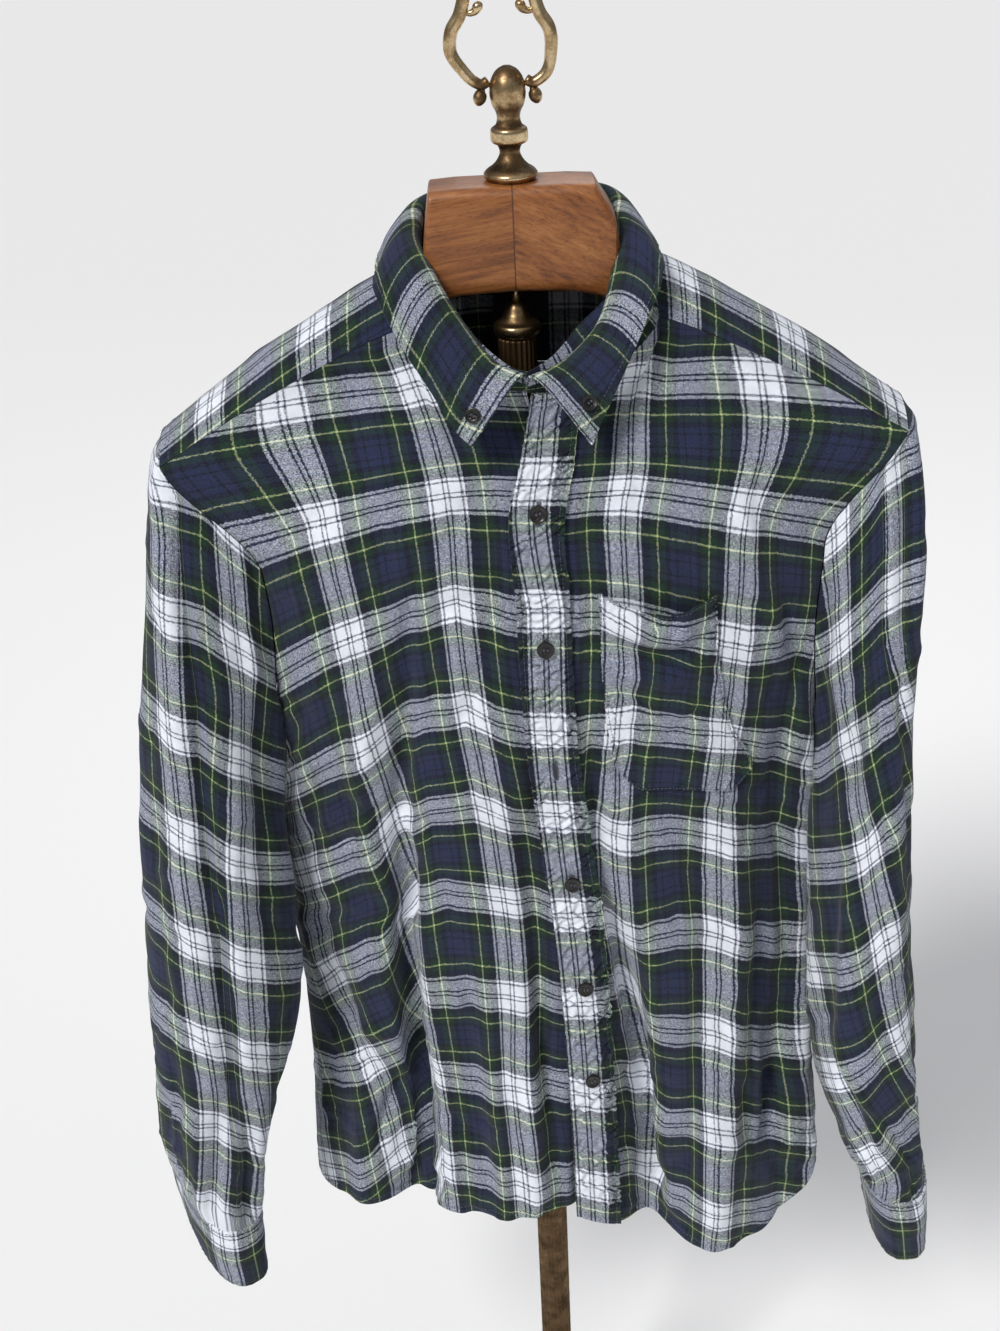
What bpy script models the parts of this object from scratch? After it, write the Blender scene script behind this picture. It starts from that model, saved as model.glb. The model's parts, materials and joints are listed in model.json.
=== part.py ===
"""Flannel shirt on a valet stand: cloth walls cut as a shirt is cut, a wooden hanger and a brass stand."""
import math

import bmesh
import bpy
import numpy as np

# ---- driving sizes, metres ------------------------------------------------------------------
DATUM = 0.150             # every height below is counted from this far above the floor
CLOTH = 0.0016            # wall of every piece of cloth
SEAM = 0.0003             # clearance wherever two pieces meet
TOP = 1.050               # height of the shoulder at the neck; "down" is counted from here
MIDDLE = 0.007            # the neck and shoulders are centred this far to the side
ARM_BOTTOM = 0.300        # underarm, counted down
ARM_WIDEST = 0.170
ARM_FRONT = 0.050         # how far the armhole reaches to the front of the side seam, at most
ARM_BACK = 0.036          # and to the back of it
YOKE_FRONT = 0.036        # radius over which the yoke turns down in front
YOKE_BACK = 0.042
NECK_CORNER = 0.079       # neck end of the front yoke seam, from the middle
SHOULDER = 0.236          # armhole end of the yoke, from the middle
BAND = 0.034              # width of the placket
UNDER = 0.0036            # the right front lies this far behind the left one
NECK_SHARE = 0.26         # share of the front that ends in the neckline
BUTTON = 0.0115
SMALL_BUTTON = 0.0095
BLUNT = 0.75              # how round the folds of a sleeve are; lower is rounder
BASE_RADIUS = 0.150
WOOD_TOP = 1.100
WOOD_UNDER = 1.035

# ---- tables: the first column is the key, the rest are read between rows ---------------------
CENTRE_NAMES = "down x_over x_under y"
CENTRE = (
    (0.040, 0.0045, 0.0040, -0.0770),
    (0.060, 0.0030, 0.0070, -0.0690),
    (0.080, 0.0000, 0.0100, -0.0680),
    (0.105, -0.0040, 0.0120, -0.0760),
    (0.130, -0.0100, 0.0120, -0.0810),
    (0.200, -0.0090, 0.0130, -0.0835),
    (0.290, -0.0070, 0.0150, -0.0840),
    (0.370, 0.0000, 0.0170, -0.0840),
    (0.450, 0.0080, 0.0220, -0.0830),
    (0.520, 0.0120, 0.0250, -0.0820),
    (0.600, 0.0150, 0.0280, -0.0800),
    (0.680, 0.0170, 0.0300, -0.0790),
    (0.760, 0.0180, 0.0310, -0.0780),
)
PANEL_NAMES = "down x_out y_out mid_drop out_drop flat turn"
PANEL_RIGHT = (
    (0.050, -0.2340, -0.004, -0.016, -0.055, 0.60, 0.55),
    (0.080, -0.2230, -0.003, -0.018, -0.055, 0.62, 0.62),
    (0.110, -0.2070, -0.002, -0.018, -0.055, 0.66, 0.70),
    (0.160, -0.1920, 0.000, -0.019, -0.055, 0.70, 0.80),
    (0.220, -0.1860, 0.000, -0.020, -0.055, 0.70, 0.80),
    (0.300, -0.1810, 0.002, -0.022, -0.050, 0.66, 0.72),
    (0.370, -0.1780, 0.004, -0.016, -0.035, 0.62, 0.66),
    (0.450, -0.1760, 0.006, -0.004, -0.022, 0.60, 0.62),
    (0.530, -0.1780, 0.006, 0.003, -0.016, 0.60, 0.62),
    (0.610, -0.1830, 0.004, 0.007, -0.018, 0.60, 0.62),
    (0.680, -0.1870, 0.000, 0.010, -0.022, 0.60, 0.62),
    (0.760, -0.1900, -0.004, 0.012, -0.025, 0.60, 0.62),
)
PANEL_LEFT = (
    (0.050, 0.2480, -0.004, -0.016, -0.055, 0.60, 0.55),
    (0.080, 0.2350, -0.003, -0.018, -0.055, 0.62, 0.62),
    (0.110, 0.2210, -0.002, -0.019, -0.055, 0.66, 0.70),
    (0.160, 0.2130, 0.000, -0.019, -0.055, 0.70, 0.80),
    (0.220, 0.2050, 0.000, -0.020, -0.055, 0.70, 0.80),
    (0.300, 0.2000, 0.002, -0.021, -0.050, 0.66, 0.72),
    (0.370, 0.1980, 0.004, -0.022, -0.052, 0.62, 0.66),
    (0.450, 0.1990, 0.006, -0.024, -0.066, 0.60, 0.62),
    (0.530, 0.2040, 0.006, -0.034, -0.088, 0.60, 0.62),
    (0.610, 0.2120, 0.004, -0.054, -0.100, 0.60, 0.62),
    (0.680, 0.2220, 0.000, -0.066, -0.092, 0.60, 0.62),
    (0.760, 0.2300, -0.004, -0.070, -0.085, 0.60, 0.62),
)
BACK_NAMES = "down y_mid"
BACK = (
    (0.080, 0.0560),
    (0.160, 0.0660),
    (0.300, 0.0720),
    (0.450, 0.0690),
    (0.600, 0.0600),
    (0.700, 0.0500),
    (0.800, 0.0420),
)
HEM_NAMES = "across down"
HEM_RIGHT = ((0.0, 0.727), (0.25, 0.738), (0.50, 0.744), (0.75, 0.736), (0.90, 0.728), (1.0, 0.705))
HEM_LEFT = ((0.0, 0.727), (0.25, 0.728), (0.50, 0.724), (0.75, 0.690), (0.90, 0.640), (1.0, 0.600))
HEM_BACK = ((-1.0, 0.705), (-0.75, 0.760), (0.0, 0.785), (0.75, 0.735), (1.0, 0.600))
FOLD_NAMES = "across_top across_low from_down to_down out_top out_low width"
FOLDS_RIGHT = (
    (0.28, 0.40, 0.20, 0.44, -0.003, -0.007, 0.050),
    (0.40, 0.43, 0.44, 0.76, -0.007, -0.026, 0.062),
    (0.17, 0.17, 0.40, 0.76, 0.000, 0.011, 0.060),
    (0.56, 0.58, 0.44, 0.76, 0.000, 0.009, 0.060),
    (0.66, 0.70, 0.10, 0.50, 0.000, 0.004, 0.120),
)
FOLDS_LEFT = (
    (0.140, 0.175, 0.30, 0.76, 0.000, -0.030, 0.062),
    (0.29, 0.33, 0.30, 0.76, 0.000, 0.010, 0.080),
    (0.60, 0.60, 0.16, 0.76, -0.003, -0.009, 0.070),
    (0.78, 0.78, 0.34, 0.74, 0.002, 0.006, 0.060),
)
RIDGE_NAMES = "out z"
RIDGE = (
    (0.000, 1.0620), (0.050, 1.0600), (0.076, 1.0530), (0.090, 1.0470), (0.120, 1.0305),
    (0.150, 1.0125), (0.178, 0.9950), (0.205, 0.9765), (0.225, 0.9625), (0.240, 0.9520),
)
# the neck hole, as a half: place along it, then distance out and across the yoke
NECK_NAMES = "along out across"
NECK = (
    (0.00, 0.000, 0.038), (0.20, 0.030, 0.037), (0.35, 0.050, 0.033), (0.55, 0.066, 0.020), (0.75, 0.072, 0.000),
    (0.90, 0.077, -0.030), (1.00, 0.079, -0.051),
)
COLLAR_NAMES = "along x_roll y_roll z_roll x_edge y_edge z_edge"
COLLAR = (
    (-1.00, -0.0110, -0.0800, 0.9960, -0.0310, -0.0970, 0.9660),
    (-0.85, -0.0200, -0.0700, 1.0090, -0.0420, -0.0920, 0.9780),
    (-0.70, -0.0320, -0.0540, 1.0250, -0.0560, -0.0840, 1.0000),
    (-0.50, -0.0500, -0.0340, 1.0520, -0.0745, -0.0640, 1.0280),
    (-0.30, -0.0600, 0.0050, 1.0700, -0.0850, -0.0340, 1.0500),
    (-0.14, -0.0480, 0.0330, 1.0850, -0.0720, 0.0400, 1.0480),
    (0.00, 0.0040, 0.0400, 1.0890, 0.0050, 0.0600, 1.0460),
    (0.14, 0.0560, 0.0330, 1.0850, 0.0790, 0.0400, 1.0480),
    (0.30, 0.0640, 0.0050, 1.0680, 0.0880, -0.0340, 1.0540),
    (0.50, 0.0590, -0.0300, 1.0420, 0.0820, -0.0560, 1.0370),
    (0.70, 0.0450, -0.0550, 1.0180, 0.0670, -0.0720, 1.0110),
    (0.85, 0.0310, -0.0700, 1.0010, 0.0530, -0.0860, 0.9880),
    (1.00, 0.0180, -0.0820, 0.9860, 0.0400, -0.0980, 0.9640),
)
STAND_NAMES = "along x y z"
STAND_TOP = (
    (-1.00, 0.0025, -0.0790, 1.0040),
    (-0.85, -0.0080, -0.0720, 1.0070),
    (-0.70, -0.0250, -0.0560, 1.0190),
    (-0.50, -0.0495, -0.0350, 1.0515),
    (-0.40, -0.0545, -0.0200, 1.0588),
    (-0.30, -0.0588, -0.0040, 1.0660),
    (-0.14, -0.0480, 0.0330, 1.0850),
    (0.00, 0.0040, 0.0400, 1.0890),
    (0.14, 0.0560, 0.0330, 1.0850),
    (0.30, 0.0633, -0.0020, 1.0634),
    (0.40, 0.0618, -0.0190, 1.0505),
    (0.50, 0.0575, -0.0330, 1.0395),
    (0.70, 0.0360, -0.0550, 1.0240),
    (0.85, 0.0210, -0.0700, 1.0120),
    (1.00, 0.0055, -0.0790, 1.0040),
)
SLEEVE_NAMES = "z x y deep thick turn lift taper"
SLEEVE_RIGHT = (
    (0.800, -0.2170, -0.012, 0.068, 0.0310, 8.0, 0.125, 0.20),
    (0.720, -0.2260, -0.024, 0.070, 0.0405, 10.0, 0.085, 0.20),
    (0.620, -0.2350, -0.038, 0.070, 0.0530, 12.0, 0.045, 0.20),
    (0.520, -0.2440, -0.048, 0.067, 0.0570, 14.0, 0.015, 0.22),
    (0.440, -0.2560, -0.052, 0.064, 0.0500, 20.0, 0.000, 0.26),
    (0.385, -0.2650, -0.053, 0.063, 0.0400, 28.0, 0.000, 0.30),
    (0.352, -0.2680, -0.053, 0.063, 0.0290, 34.0, 0.000, 0.34),
)
SLEEVE_LEFT = (
    (0.800, 0.2320, -0.012, 0.068, 0.0275, 4.0, 0.125, 0.20),
    (0.720, 0.2315, -0.024, 0.070, 0.0290, 4.0, 0.085, 0.20),
    (0.620, 0.2335, -0.038, 0.070, 0.0315, 5.0, 0.045, 0.20),
    (0.520, 0.2380, -0.048, 0.067, 0.0345, 5.0, 0.015, 0.20),
    (0.440, 0.2440, -0.054, 0.064, 0.0350, 4.0, 0.000, 0.20),
    (0.385, 0.2530, -0.057, 0.062, 0.0320, 3.0, 0.000, 0.20),
    (0.357, 0.2610, -0.057, 0.061, 0.0280, 2.0, 0.000, 0.20),
)
CUFF_RIGHT = (
    (0.352, -0.2680, -0.053, 0.063, 0.0290, 34.0, 0.000, 0.34),
    (0.324, -0.2675, -0.056, 0.060, 0.0255, 35.0, 0.000, 0.35),
    (0.295, -0.2635, -0.061, 0.054, 0.0235, 36.0, 0.000, 0.34),
)
CUFF_LEFT = (
    (0.357, 0.2610, -0.057, 0.061, 0.0280, 2.0, 0.000, 0.20),
    (0.328, 0.2650, -0.056, 0.061, 0.0250, 1.0, 0.000, 0.20),
    (0.297, 0.2680, -0.055, 0.061, 0.0235, 0.0, 0.000, 0.20),
)
HANGER_NAMES = "out top under half"
HANGER = (
    (0.000, 1.1000, 1.0350, 0.0225), (0.030, 1.1000, 1.0335, 0.0225), (0.046, 1.0990, 1.0300, 0.0225),
    (0.0495, 1.0820, 1.0270, 0.0220), (0.0522, 1.0660, 1.0220, 0.0190), (0.0540, 1.0480, 1.0170, 0.0150),
    (0.0620, 1.0400, 1.0100, 0.0150), (0.090, 1.0400, 0.9980, 0.0165), (0.130, 1.0200, 0.9720, 0.0160),
    (0.180, 0.9888, 0.9460, 0.0150), (0.212, 0.9650, 0.9300, 0.0135), (0.224, 0.9530, 0.9280, 0.0115),
)
STEM_NAMES = "z radius"
STEM = (
    (1.1003, 0.0150), (1.1035, 0.0166), (1.1060, 0.0148), (1.1085, 0.0112), (1.1120, 0.0080), (1.1165, 0.0062),
    (1.1205, 0.0075), (1.1225, 0.0108), (1.1270, 0.0114), (1.1300, 0.0110), (1.1325, 0.0080), (1.1360, 0.0070),
    (1.1400, 0.0076), (1.1435, 0.0094), (1.1480, 0.0107), (1.1540, 0.0108), (1.1600, 0.0091), (1.1640, 0.0062),
    (1.1662, 0.0025),
)
CAP = (
    (1.0022, 0.0118), (1.0040, 0.0140), (1.0075, 0.0150), (1.0105, 0.0142), (1.0125, 0.0105), (1.0170, 0.0082),
    (1.0220, 0.0062), (1.0265, 0.0034), (1.0300, 0.0030), (1.0347, 0.0034),
)
BASE = (
    (-0.1500, 0.1500), (-0.1380, 0.1500), (-0.1330, 0.1460), (-0.1240, 0.1220), (-0.1200, 0.0600),
    (-0.1120, 0.0320), (-0.0980, 0.0200), (-0.0900, 0.0160),
)
# half of the loop handle, from the ball outward, up and over to the middle
HANDLE_NAMES = "x z"
HANDLE = (
    (0.0112, 1.1580), (0.0145, 1.1560), (0.0205, 1.1585), (0.0268, 1.1670), (0.0298, 1.1770), (0.0284, 1.1868),
    (0.0236, 1.1945), (0.0210, 1.2022), (0.0196, 1.2100), (0.0150, 1.2180), (0.0080, 1.2225), (0.0000, 1.2240),
)
HANDLE_SHIFT = -0.003     # the loop stands this far off the middle
# knobs and curls cast on either side of the handle: across, height, radius
KNOB = (
    (0.0138, 1.1560, 0.0015), (0.0148, 1.1530, 0.0017), (0.0155, 1.1515, 0.0032), (0.0163, 1.1492, 0.0040),
    (0.0171, 1.1470, 0.0038), (0.0178, 1.1450, 0.0025), (0.0182, 1.1440, 0.0010),
)
CURL = (
    (0.0215, 1.1985, 0.0016), (0.0180, 1.1962, 0.0018), (0.0145, 1.1970, 0.0024), (0.0127, 1.1990, 0.0030),
    (0.0117, 1.2010, 0.0026), (0.0113, 1.2025, 0.0010),
)

# ---- colours ---------------------------------------------------------------------------------
CLOTH_NAVY = (0.045, 0.055, 0.105)
WOOD = (0.30, 0.13, 0.05)
BRASS = (0.55, 0.40, 0.18)
HORN = (0.02, 0.015, 0.015)
LABEL = (0.02, 0.02, 0.025)


# ---- reading the tables ----------------------------------------------------------------------
def read(rows, names, at):
    """Smooth value of every named column at the places asked for."""
    data = np.array(rows, float)
    key = data[:, 0]
    slope = np.gradient(data, key, axis=0)
    at = np.clip(np.asarray(at, float), key[0], key[-1])
    i = np.clip(np.searchsorted(key, at, side="right") - 1, 0, len(key) - 2)
    gap = (key[i + 1] - key[i])[..., None]
    t = (at - key[i])[..., None] / gap
    value = (2 * t**3 - 3 * t**2 + 1) * data[i] + (t**3 - 2 * t**2 + t) * gap * slope[i]
    value = value + (3 * t**2 - 2 * t**3) * data[i + 1] + (t**3 - t**2) * gap * slope[i + 1]
    return {name: value[..., k] for k, name in enumerate(names.split())}


def ease(value, start, end):
    t = np.clip((value - start) / (end - start), 0, 1)
    return t * t * (3 - 2 * t)


def points(x, y, z):
    return np.stack(np.broadcast_arrays(x, y, z), axis=-1).astype(float)


def unit(v):
    return v / np.maximum(np.linalg.norm(v, axis=-1, keepdims=True), 1e-9)


# ---- the drape of the body -------------------------------------------------------------------
def armhole_reach(down, most):
    part = np.clip(1 - ((down - ARM_WIDEST) / (ARM_BOTTOM - ARM_WIDEST)) ** 2, 0, 1)
    return np.where(down < ARM_BOTTOM, most * np.sqrt(part), 0.0)


def quarter(a, start, end, flat, turn):
    """Plan curve of a quarter of the body, from its middle line to its side."""
    width = end[0] - start[0]
    depth = end[1] - start[1]
    w0 = (1 - a) ** 3
    w1 = 3 * (1 - a) ** 2 * a
    w2 = 3 * (1 - a) * a**2
    w3 = a**3
    x = w0 * start[0] + w1 * (start[0] + flat * width) + (w2 + w3) * end[0]
    y = w0 * start[1] + w1 * start[1] + w2 * (end[1] - turn * depth) + w3 * end[1]
    return x, y


def fold_height(folds, across, down):
    total = np.zeros(np.broadcast(across, down).shape)
    for row in folds:
        f = dict(zip(FOLD_NAMES.split(), row))
        t = ease(down, f["from_down"], f["to_down"])
        s = np.clip((down - f["from_down"]) / (f["to_down"] - f["from_down"]), 0, 1)
        middle = f["across_top"] + (f["across_low"] - f["across_top"]) * s
        height = f["out_top"] + (f["out_low"] - f["out_top"]) * t
        height = height * ease(down, f["from_down"] - 0.10, f["from_down"])
        height = height * (1 - ease(down, f["to_down"], f["to_down"] + 0.02))
        total = total + height * np.exp(-(((across - middle) / f["width"]) ** 2))
    return total * (1 - ease(across, 0.93, 1.0))


def side_rows(side):
    return PANEL_LEFT if side > 0 else PANEL_RIGHT


def front_plan(side, a, down):
    c = read(CENTRE, CENTRE_NAMES, down)
    p = read(side_rows(side), PANEL_NAMES, down)
    start_x = c["x_over"] if side > 0 else c["x_under"]
    tuck = 0.012 * ease(down, 0.30, 0.70) * (1 - ease(a, 0.0, 0.10))
    start_y = c["y"] + (0.0 if side > 0 else UNDER + tuck)
    return quarter(a, (start_x, start_y), (p["x_out"], p["y_out"]), p["flat"], p["turn"]), p


def panel_point(side, a, down):
    """Outer face of a front: side +1 is the wearer's left, -1 the wearer's right."""
    (x, y), p = front_plan(side, a, down)
    z = TOP - down + (4 * p["mid_drop"] - p["out_drop"]) * a + (2 * p["out_drop"] - 4 * p["mid_drop"]) * a**2
    step = 1e-3
    (x2, y2), _ = front_plan(side, a + step, down)
    (x1, y1), _ = front_plan(side, a - step, down)
    along = unit(points(x2 - x1, y2 - y1, 0.0))
    fold = fold_height(FOLDS_LEFT if side > 0 else FOLDS_RIGHT, a, down)
    return points(x + side * along[..., 1] * fold, y - side * along[..., 0] * fold, z)


def back_plan(side, out, down):
    b = read(BACK, BACK_NAMES, down)
    p = read(side_rows(side), PANEL_NAMES, down)
    middle = MIDDLE + 0.012 * (down - 0.1)
    return quarter(out, (middle, b["y_mid"]), (p["x_out"], p["y_out"] + SEAM), p["flat"], p["turn"]), p


def back_half_point(side, out, down):
    (x, y), p = back_plan(side, out, down)
    return points(x, y, TOP - down + p["out_drop"] * out**2)


def cloth_table(point, plan, reach, first, last, rows=90, steps=160):
    """How far the cloth has run at each place across a half, row by row, up to its cut edge."""
    downs = np.linspace(first, last, rows)
    ladder = np.linspace(0, 1, steps)
    run = np.zeros((rows, steps))
    edge = np.ones(rows)
    for k, down in enumerate(downs):
        far = np.full(steps, down)
        line = point(ladder, far)[:, :2]
        run[k, 1:] = np.cumsum(np.linalg.norm(np.diff(line, axis=0), axis=1))
        half = armhole_reach(down, reach)
        if half > 0:
            (_, y), p = plan(ladder, far)
            inside = np.abs(y - p["y_out"]) - half
            upper = steps // 2
            edge[k] = np.interp(0.0, -inside[upper:], ladder[upper:])
    return downs, ladder, run, edge


def across_at(table, share, down, band=0.0):
    """Place across a half for a share of its cloth; shares up to 0.10 lie on the band."""
    downs, ladder, run, edge = table
    share, down = np.broadcast_arrays(np.asarray(share, float), np.asarray(down, float))
    result = np.zeros(share.shape)
    for place in np.ndindex(share.shape):
        k = np.clip((down[place] - downs[0]) / (downs[1] - downs[0]), 0, len(downs) - 1.001)
        low = int(k)
        t = k - low
        line = (1 - t) * run[low] + t * run[low + 1]
        limit = (1 - t) * edge[low] + t * edge[low + 1]
        total = np.interp(limit, ladder, line)
        if band > 0 and share[place] <= 0.10:
            want = share[place] / 0.10 * band
        elif band > 0:
            want = band + (total - band) * (share[place] - 0.10) / 0.90
        else:
            want = total * share[place]
        result[place] = np.interp(want, line, ladder)
    return result


FRONT_TABLES = {}
BACK_TABLES = {}


def prepare_cloth():
    for side in (-1, 1):
        FRONT_TABLES[side] = cloth_table(
            lambda a, d: panel_point(side, a, d), lambda a, d: front_plan(side, a, d), ARM_FRONT, 0.03, 0.80)
        BACK_TABLES[side] = cloth_table(
            lambda a, d: back_half_point(side, a, d), lambda a, d: back_plan(side, a, d), ARM_BACK, 0.05, 0.82)


def front_point(side, share, down):
    return panel_point(side, across_at(FRONT_TABLES[side], share, down, BAND), down)


def back_point(a, down):
    """Outer face of the back, a from -1 at the wearer's right side to +1 at the left."""
    a, down = np.broadcast_arrays(np.asarray(a, float), np.asarray(down, float))
    right = back_half_point(-1, across_at(BACK_TABLES[-1], np.abs(a), down), down)
    left = back_half_point(1, across_at(BACK_TABLES[1], np.abs(a), down), down)
    return np.where((a < 0)[..., None], right, left)


# ---- the yoke and the neck -------------------------------------------------------------------
def yoke_point(out, across):
    """Outer face of the yoke; out runs along the shoulders, across runs front (-) to back (+)."""
    ridge = read(RIDGE, RIDGE_NAMES, np.abs(out))["z"]
    radius = np.where(across < 0, YOKE_FRONT, YOKE_BACK)
    turn = np.clip(np.abs(across) / radius, 0, math.pi / 2)
    rest = np.abs(across) - turn * radius
    y = np.sign(across) * radius * np.sin(turn) - 0.012 * (out / 0.24) ** 2
    z = ridge - radius * (1 - np.cos(turn)) - rest
    return points(MIDDLE + out, y, z)


def neck_along(a):
    """Place along the neckline for a share of the front that ends in it."""
    return 1.0 - 0.6 * np.clip(np.asarray(a) / NECK_SHARE, 0, 1) ** 1.25


def front_seam(side, t):
    """Flat place on the yoke of its front seam, t from the neck to the armhole."""
    out = NECK_CORNER + (SHOULDER - NECK_CORNER) * t
    return side * out, -0.051 + 0.018 * t


def back_seam(t):
    """Flat place on the yoke of its back seam, t from -1 to 1."""
    return SHOULDER * t, 0.115 - 0.040 * t**2


YOKE_SHARE = (0.0, 0.1892, 0.3784, 0.5676, 0.7838, 1.0)


def along_polyline(values, keys, at):
    """Straight-line reading of points kept at a few keys, so two pieces share one edge."""
    return np.stack([np.interp(at, keys, values[:, k]) for k in range(values.shape[1])], axis=-1)


def yoke_normal(out, across):
    h = 1e-4
    one = yoke_point(out + h, across) - yoke_point(out - h, across)
    two = yoke_point(out, across + h) - yoke_point(out, across - h)
    return unit(np.cross(one, two))


def seam_normal(side, keys):
    """Outward direction along the front yoke seam, leaning to the collar at its neck end."""
    normal = yoke_normal(*front_seam(side, keys))
    place = yoke_point(*front_seam(side, keys))
    normal[0] = unit(normal[0] + 0.8 * outward_of(place)[0])
    return normal


def neck_flat(t):
    n = read(NECK, NECK_NAMES, np.abs(t))
    return np.sign(t) * n["out"], n["across"]


def neck_point(along):
    """The neckline all round, along from -1 at the wearer's right front edge to +1."""
    along = np.asarray(along, float)
    out, across = neck_flat(np.clip(along / 0.4, -1, 1))
    behind = yoke_point(out, across)
    side = np.where(along < 0, -1.0, 1.0)
    t = np.clip((np.abs(along) - 0.4) / 0.6, 0, 1)
    corner = yoke_point(side * NECK_CORNER, -0.051 + 0 * along)
    edge_x = np.where(side > 0, CENTRE[0][1] + 0.0012, CENTRE[0][2] - 0.0012)
    bend = np.sin(t * math.pi / 2)
    x = corner[..., 0] + (edge_x - corner[..., 0]) * (1 - np.cos(t * math.pi / 2)) ** 0.75
    y = corner[..., 1] + (np.where(side > 0, -0.0750, -0.0750 + UNDER) - corner[..., 1]) * bend
    z = corner[..., 2] + (0.990 - corner[..., 2]) * bend
    return np.where((np.abs(along) > 0.4)[..., None], points(x, y, z), behind)


# ---- walls ------------------------------------------------------------------------------------
def grid_normals(grid, wrap=False):
    if wrap:
        across = np.roll(grid, -1, axis=1) - np.roll(grid, 1, axis=1)
    else:
        across = np.gradient(grid, axis=1)
    down = np.gradient(grid, axis=0)
    return unit(np.cross(across, down))


def band_faces(one, two, closed):
    """Triangles between two equal runs of vertex numbers."""
    faces = []
    last = len(one) if closed else len(one) - 1
    for k in range(last):
        m = (k + 1) % len(one)
        faces.append((one[k], one[m], two[m]))
        faces.append((one[k], two[m], two[k]))
    return faces


def make_solid(name, verts, faces, slot, smooth=True):
    mesh = bpy.data.meshes.new(name)
    mesh.from_pydata([(float(x), float(y), float(z) + DATUM) for x, y, z in verts], [], faces)
    body = bmesh.new()
    body.from_mesh(mesh)
    bmesh.ops.recalc_face_normals(body, faces=body.faces)
    if body.calc_volume(signed=True) < 0:
        bmesh.ops.reverse_faces(body, faces=body.faces)
    body.to_mesh(mesh)
    body.free()
    for polygon in mesh.polygons:
        polygon.use_smooth = smooth
    obj = bpy.data.objects.new(name, mesh)
    bpy.context.scene.collection.objects.link(obj)
    mesh.materials.append(material(name, *slot))
    return obj


def material(name, colour, metallic, roughness):
    mat = bpy.data.materials.new(name)
    mat.use_nodes = True
    shader = mat.node_tree.nodes["Principled BSDF"]
    shader.inputs["Base Color"].default_value = (*colour, 1.0)
    shader.inputs["Metallic"].default_value = metallic
    shader.inputs["Roughness"].default_value = roughness
    mat.diffuse_color = (*colour, 1.0)
    return mat


FABRIC = (CLOTH_NAVY, 0.0, 0.95)
METAL = (BRASS, 1.0, 0.35)
TIMBER = (WOOD, 0.0, 0.5)
SHELL = (HORN, 0.0, 0.35)


def cloth_wall(name, outer, inner, wrap=False, slot=FABRIC):
    """A closed wall between two matching grids of points."""
    rows, cols = outer.shape[:2]
    count = rows * cols
    verts = np.concatenate([outer.reshape(-1, 3), inner.reshape(-1, 3)])
    number = np.arange(count).reshape(rows, cols)
    faces = []
    for r in range(rows - 1):
        faces += band_faces(list(number[r]), list(number[r + 1]), wrap)
    faces += [tuple(k + count for k in reversed(face)) for face in faces]
    faces += band_faces(list(number[0] + count), list(number[0]), wrap)
    faces += band_faces(list(number[-1]), list(number[-1] + count), wrap)
    if not wrap:
        faces += band_faces(list(number[:, 0]), list(number[:, 0] + count), False)
        faces += band_faces(list(number[:, -1] + count), list(number[:, -1]), False)
    return make_solid(name, verts, faces, slot)


def sheet(name, grid, outward, wrap=False, thickness=CLOTH, slot=FABRIC):
    return cloth_wall(name, grid, grid - thickness * outward, wrap, slot)


# ---- the fronts, and what lies on them --------------------------------------------------------
ACROSS = (0.0, 0.05, 0.10, 0.15, 0.20, 0.26, 0.33, 0.40, 0.47, 0.54, 0.60, 0.68, 0.76, 0.84, 0.92, 1.0)
ROWS = (0.130, 0.158, 0.188, 0.216, 0.246, 0.276, 0.300, 0.332, 0.370, 0.410, 0.450, 0.490, 0.530, 0.570,
        0.610, 0.650)
TOP_ROWS = 4
LOW_ROWS = 3
POCKET_COLUMNS = (4, 10)
POCKET_ROWS = (6, 11)


def panel_grid(side, across=ACROSS, rows=ROWS, top_rows=TOP_ROWS, low_rows=LOW_ROWS):
    """Rows and columns of points over a whole front, neckline and yoke seam to hem."""
    a = np.array(across)
    in_neck = a <= NECK_SHARE + 1e-9
    along = side * neck_along(a)
    t = np.clip((a - NECK_SHARE) / (1 - NECK_SHARE), 0, 1)
    keys = np.array(YOKE_SHARE)
    seam = along_polyline(yoke_point(*front_seam(side, keys)), keys, t) + np.array([0.0, 0.0, -1.8 * SEAM])
    border = np.where(in_neck[:, None], neck_point(along), seam)
    guess = TOP - border[:, 2]
    for _ in range(12):
        guess = np.clip(guess + (front_point(side, a, guess)[:, 2] - border[:, 2]), 0.03, 0.2)
    hem = read(HEM_LEFT if side > 0 else HEM_RIGHT, HEM_NAMES, a)["down"]
    down = []
    for k in range(top_rows):
        down.append(guess + (rows[0] - guess) * k / top_rows)
    for row in rows:
        down.append(np.full_like(a, row))
    last = np.minimum(rows[-1], hem - 0.012 * low_rows)
    for k in range(1, low_rows + 1):
        down.append(last + (hem - last) * k / low_rows)
    down = np.array(down)
    down = np.minimum(down, hem[None, :] - 0.012 * np.arange(len(down) - 1, -1, -1)[:, None])
    grid = front_point(side, a[None, :], down)
    pull = border - grid[0]
    fade = 1 - ease(down, guess, guess + 0.07)
    return grid + pull[None] * fade[..., None], a, down


def level_edge(outward, down, col):
    """Turn the wall square to the side seam, so both panels end flush with each other."""
    flat = unit(outward[:, col] * np.array([1.0, 0.0, 1.0]))
    share = ease(down[:, col], ARM_BOTTOM - 0.012, ARM_BOTTOM)[:, None]
    outward[:, col] = unit(outward[:, col] * (1 - share) + flat * share)
    return outward


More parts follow.
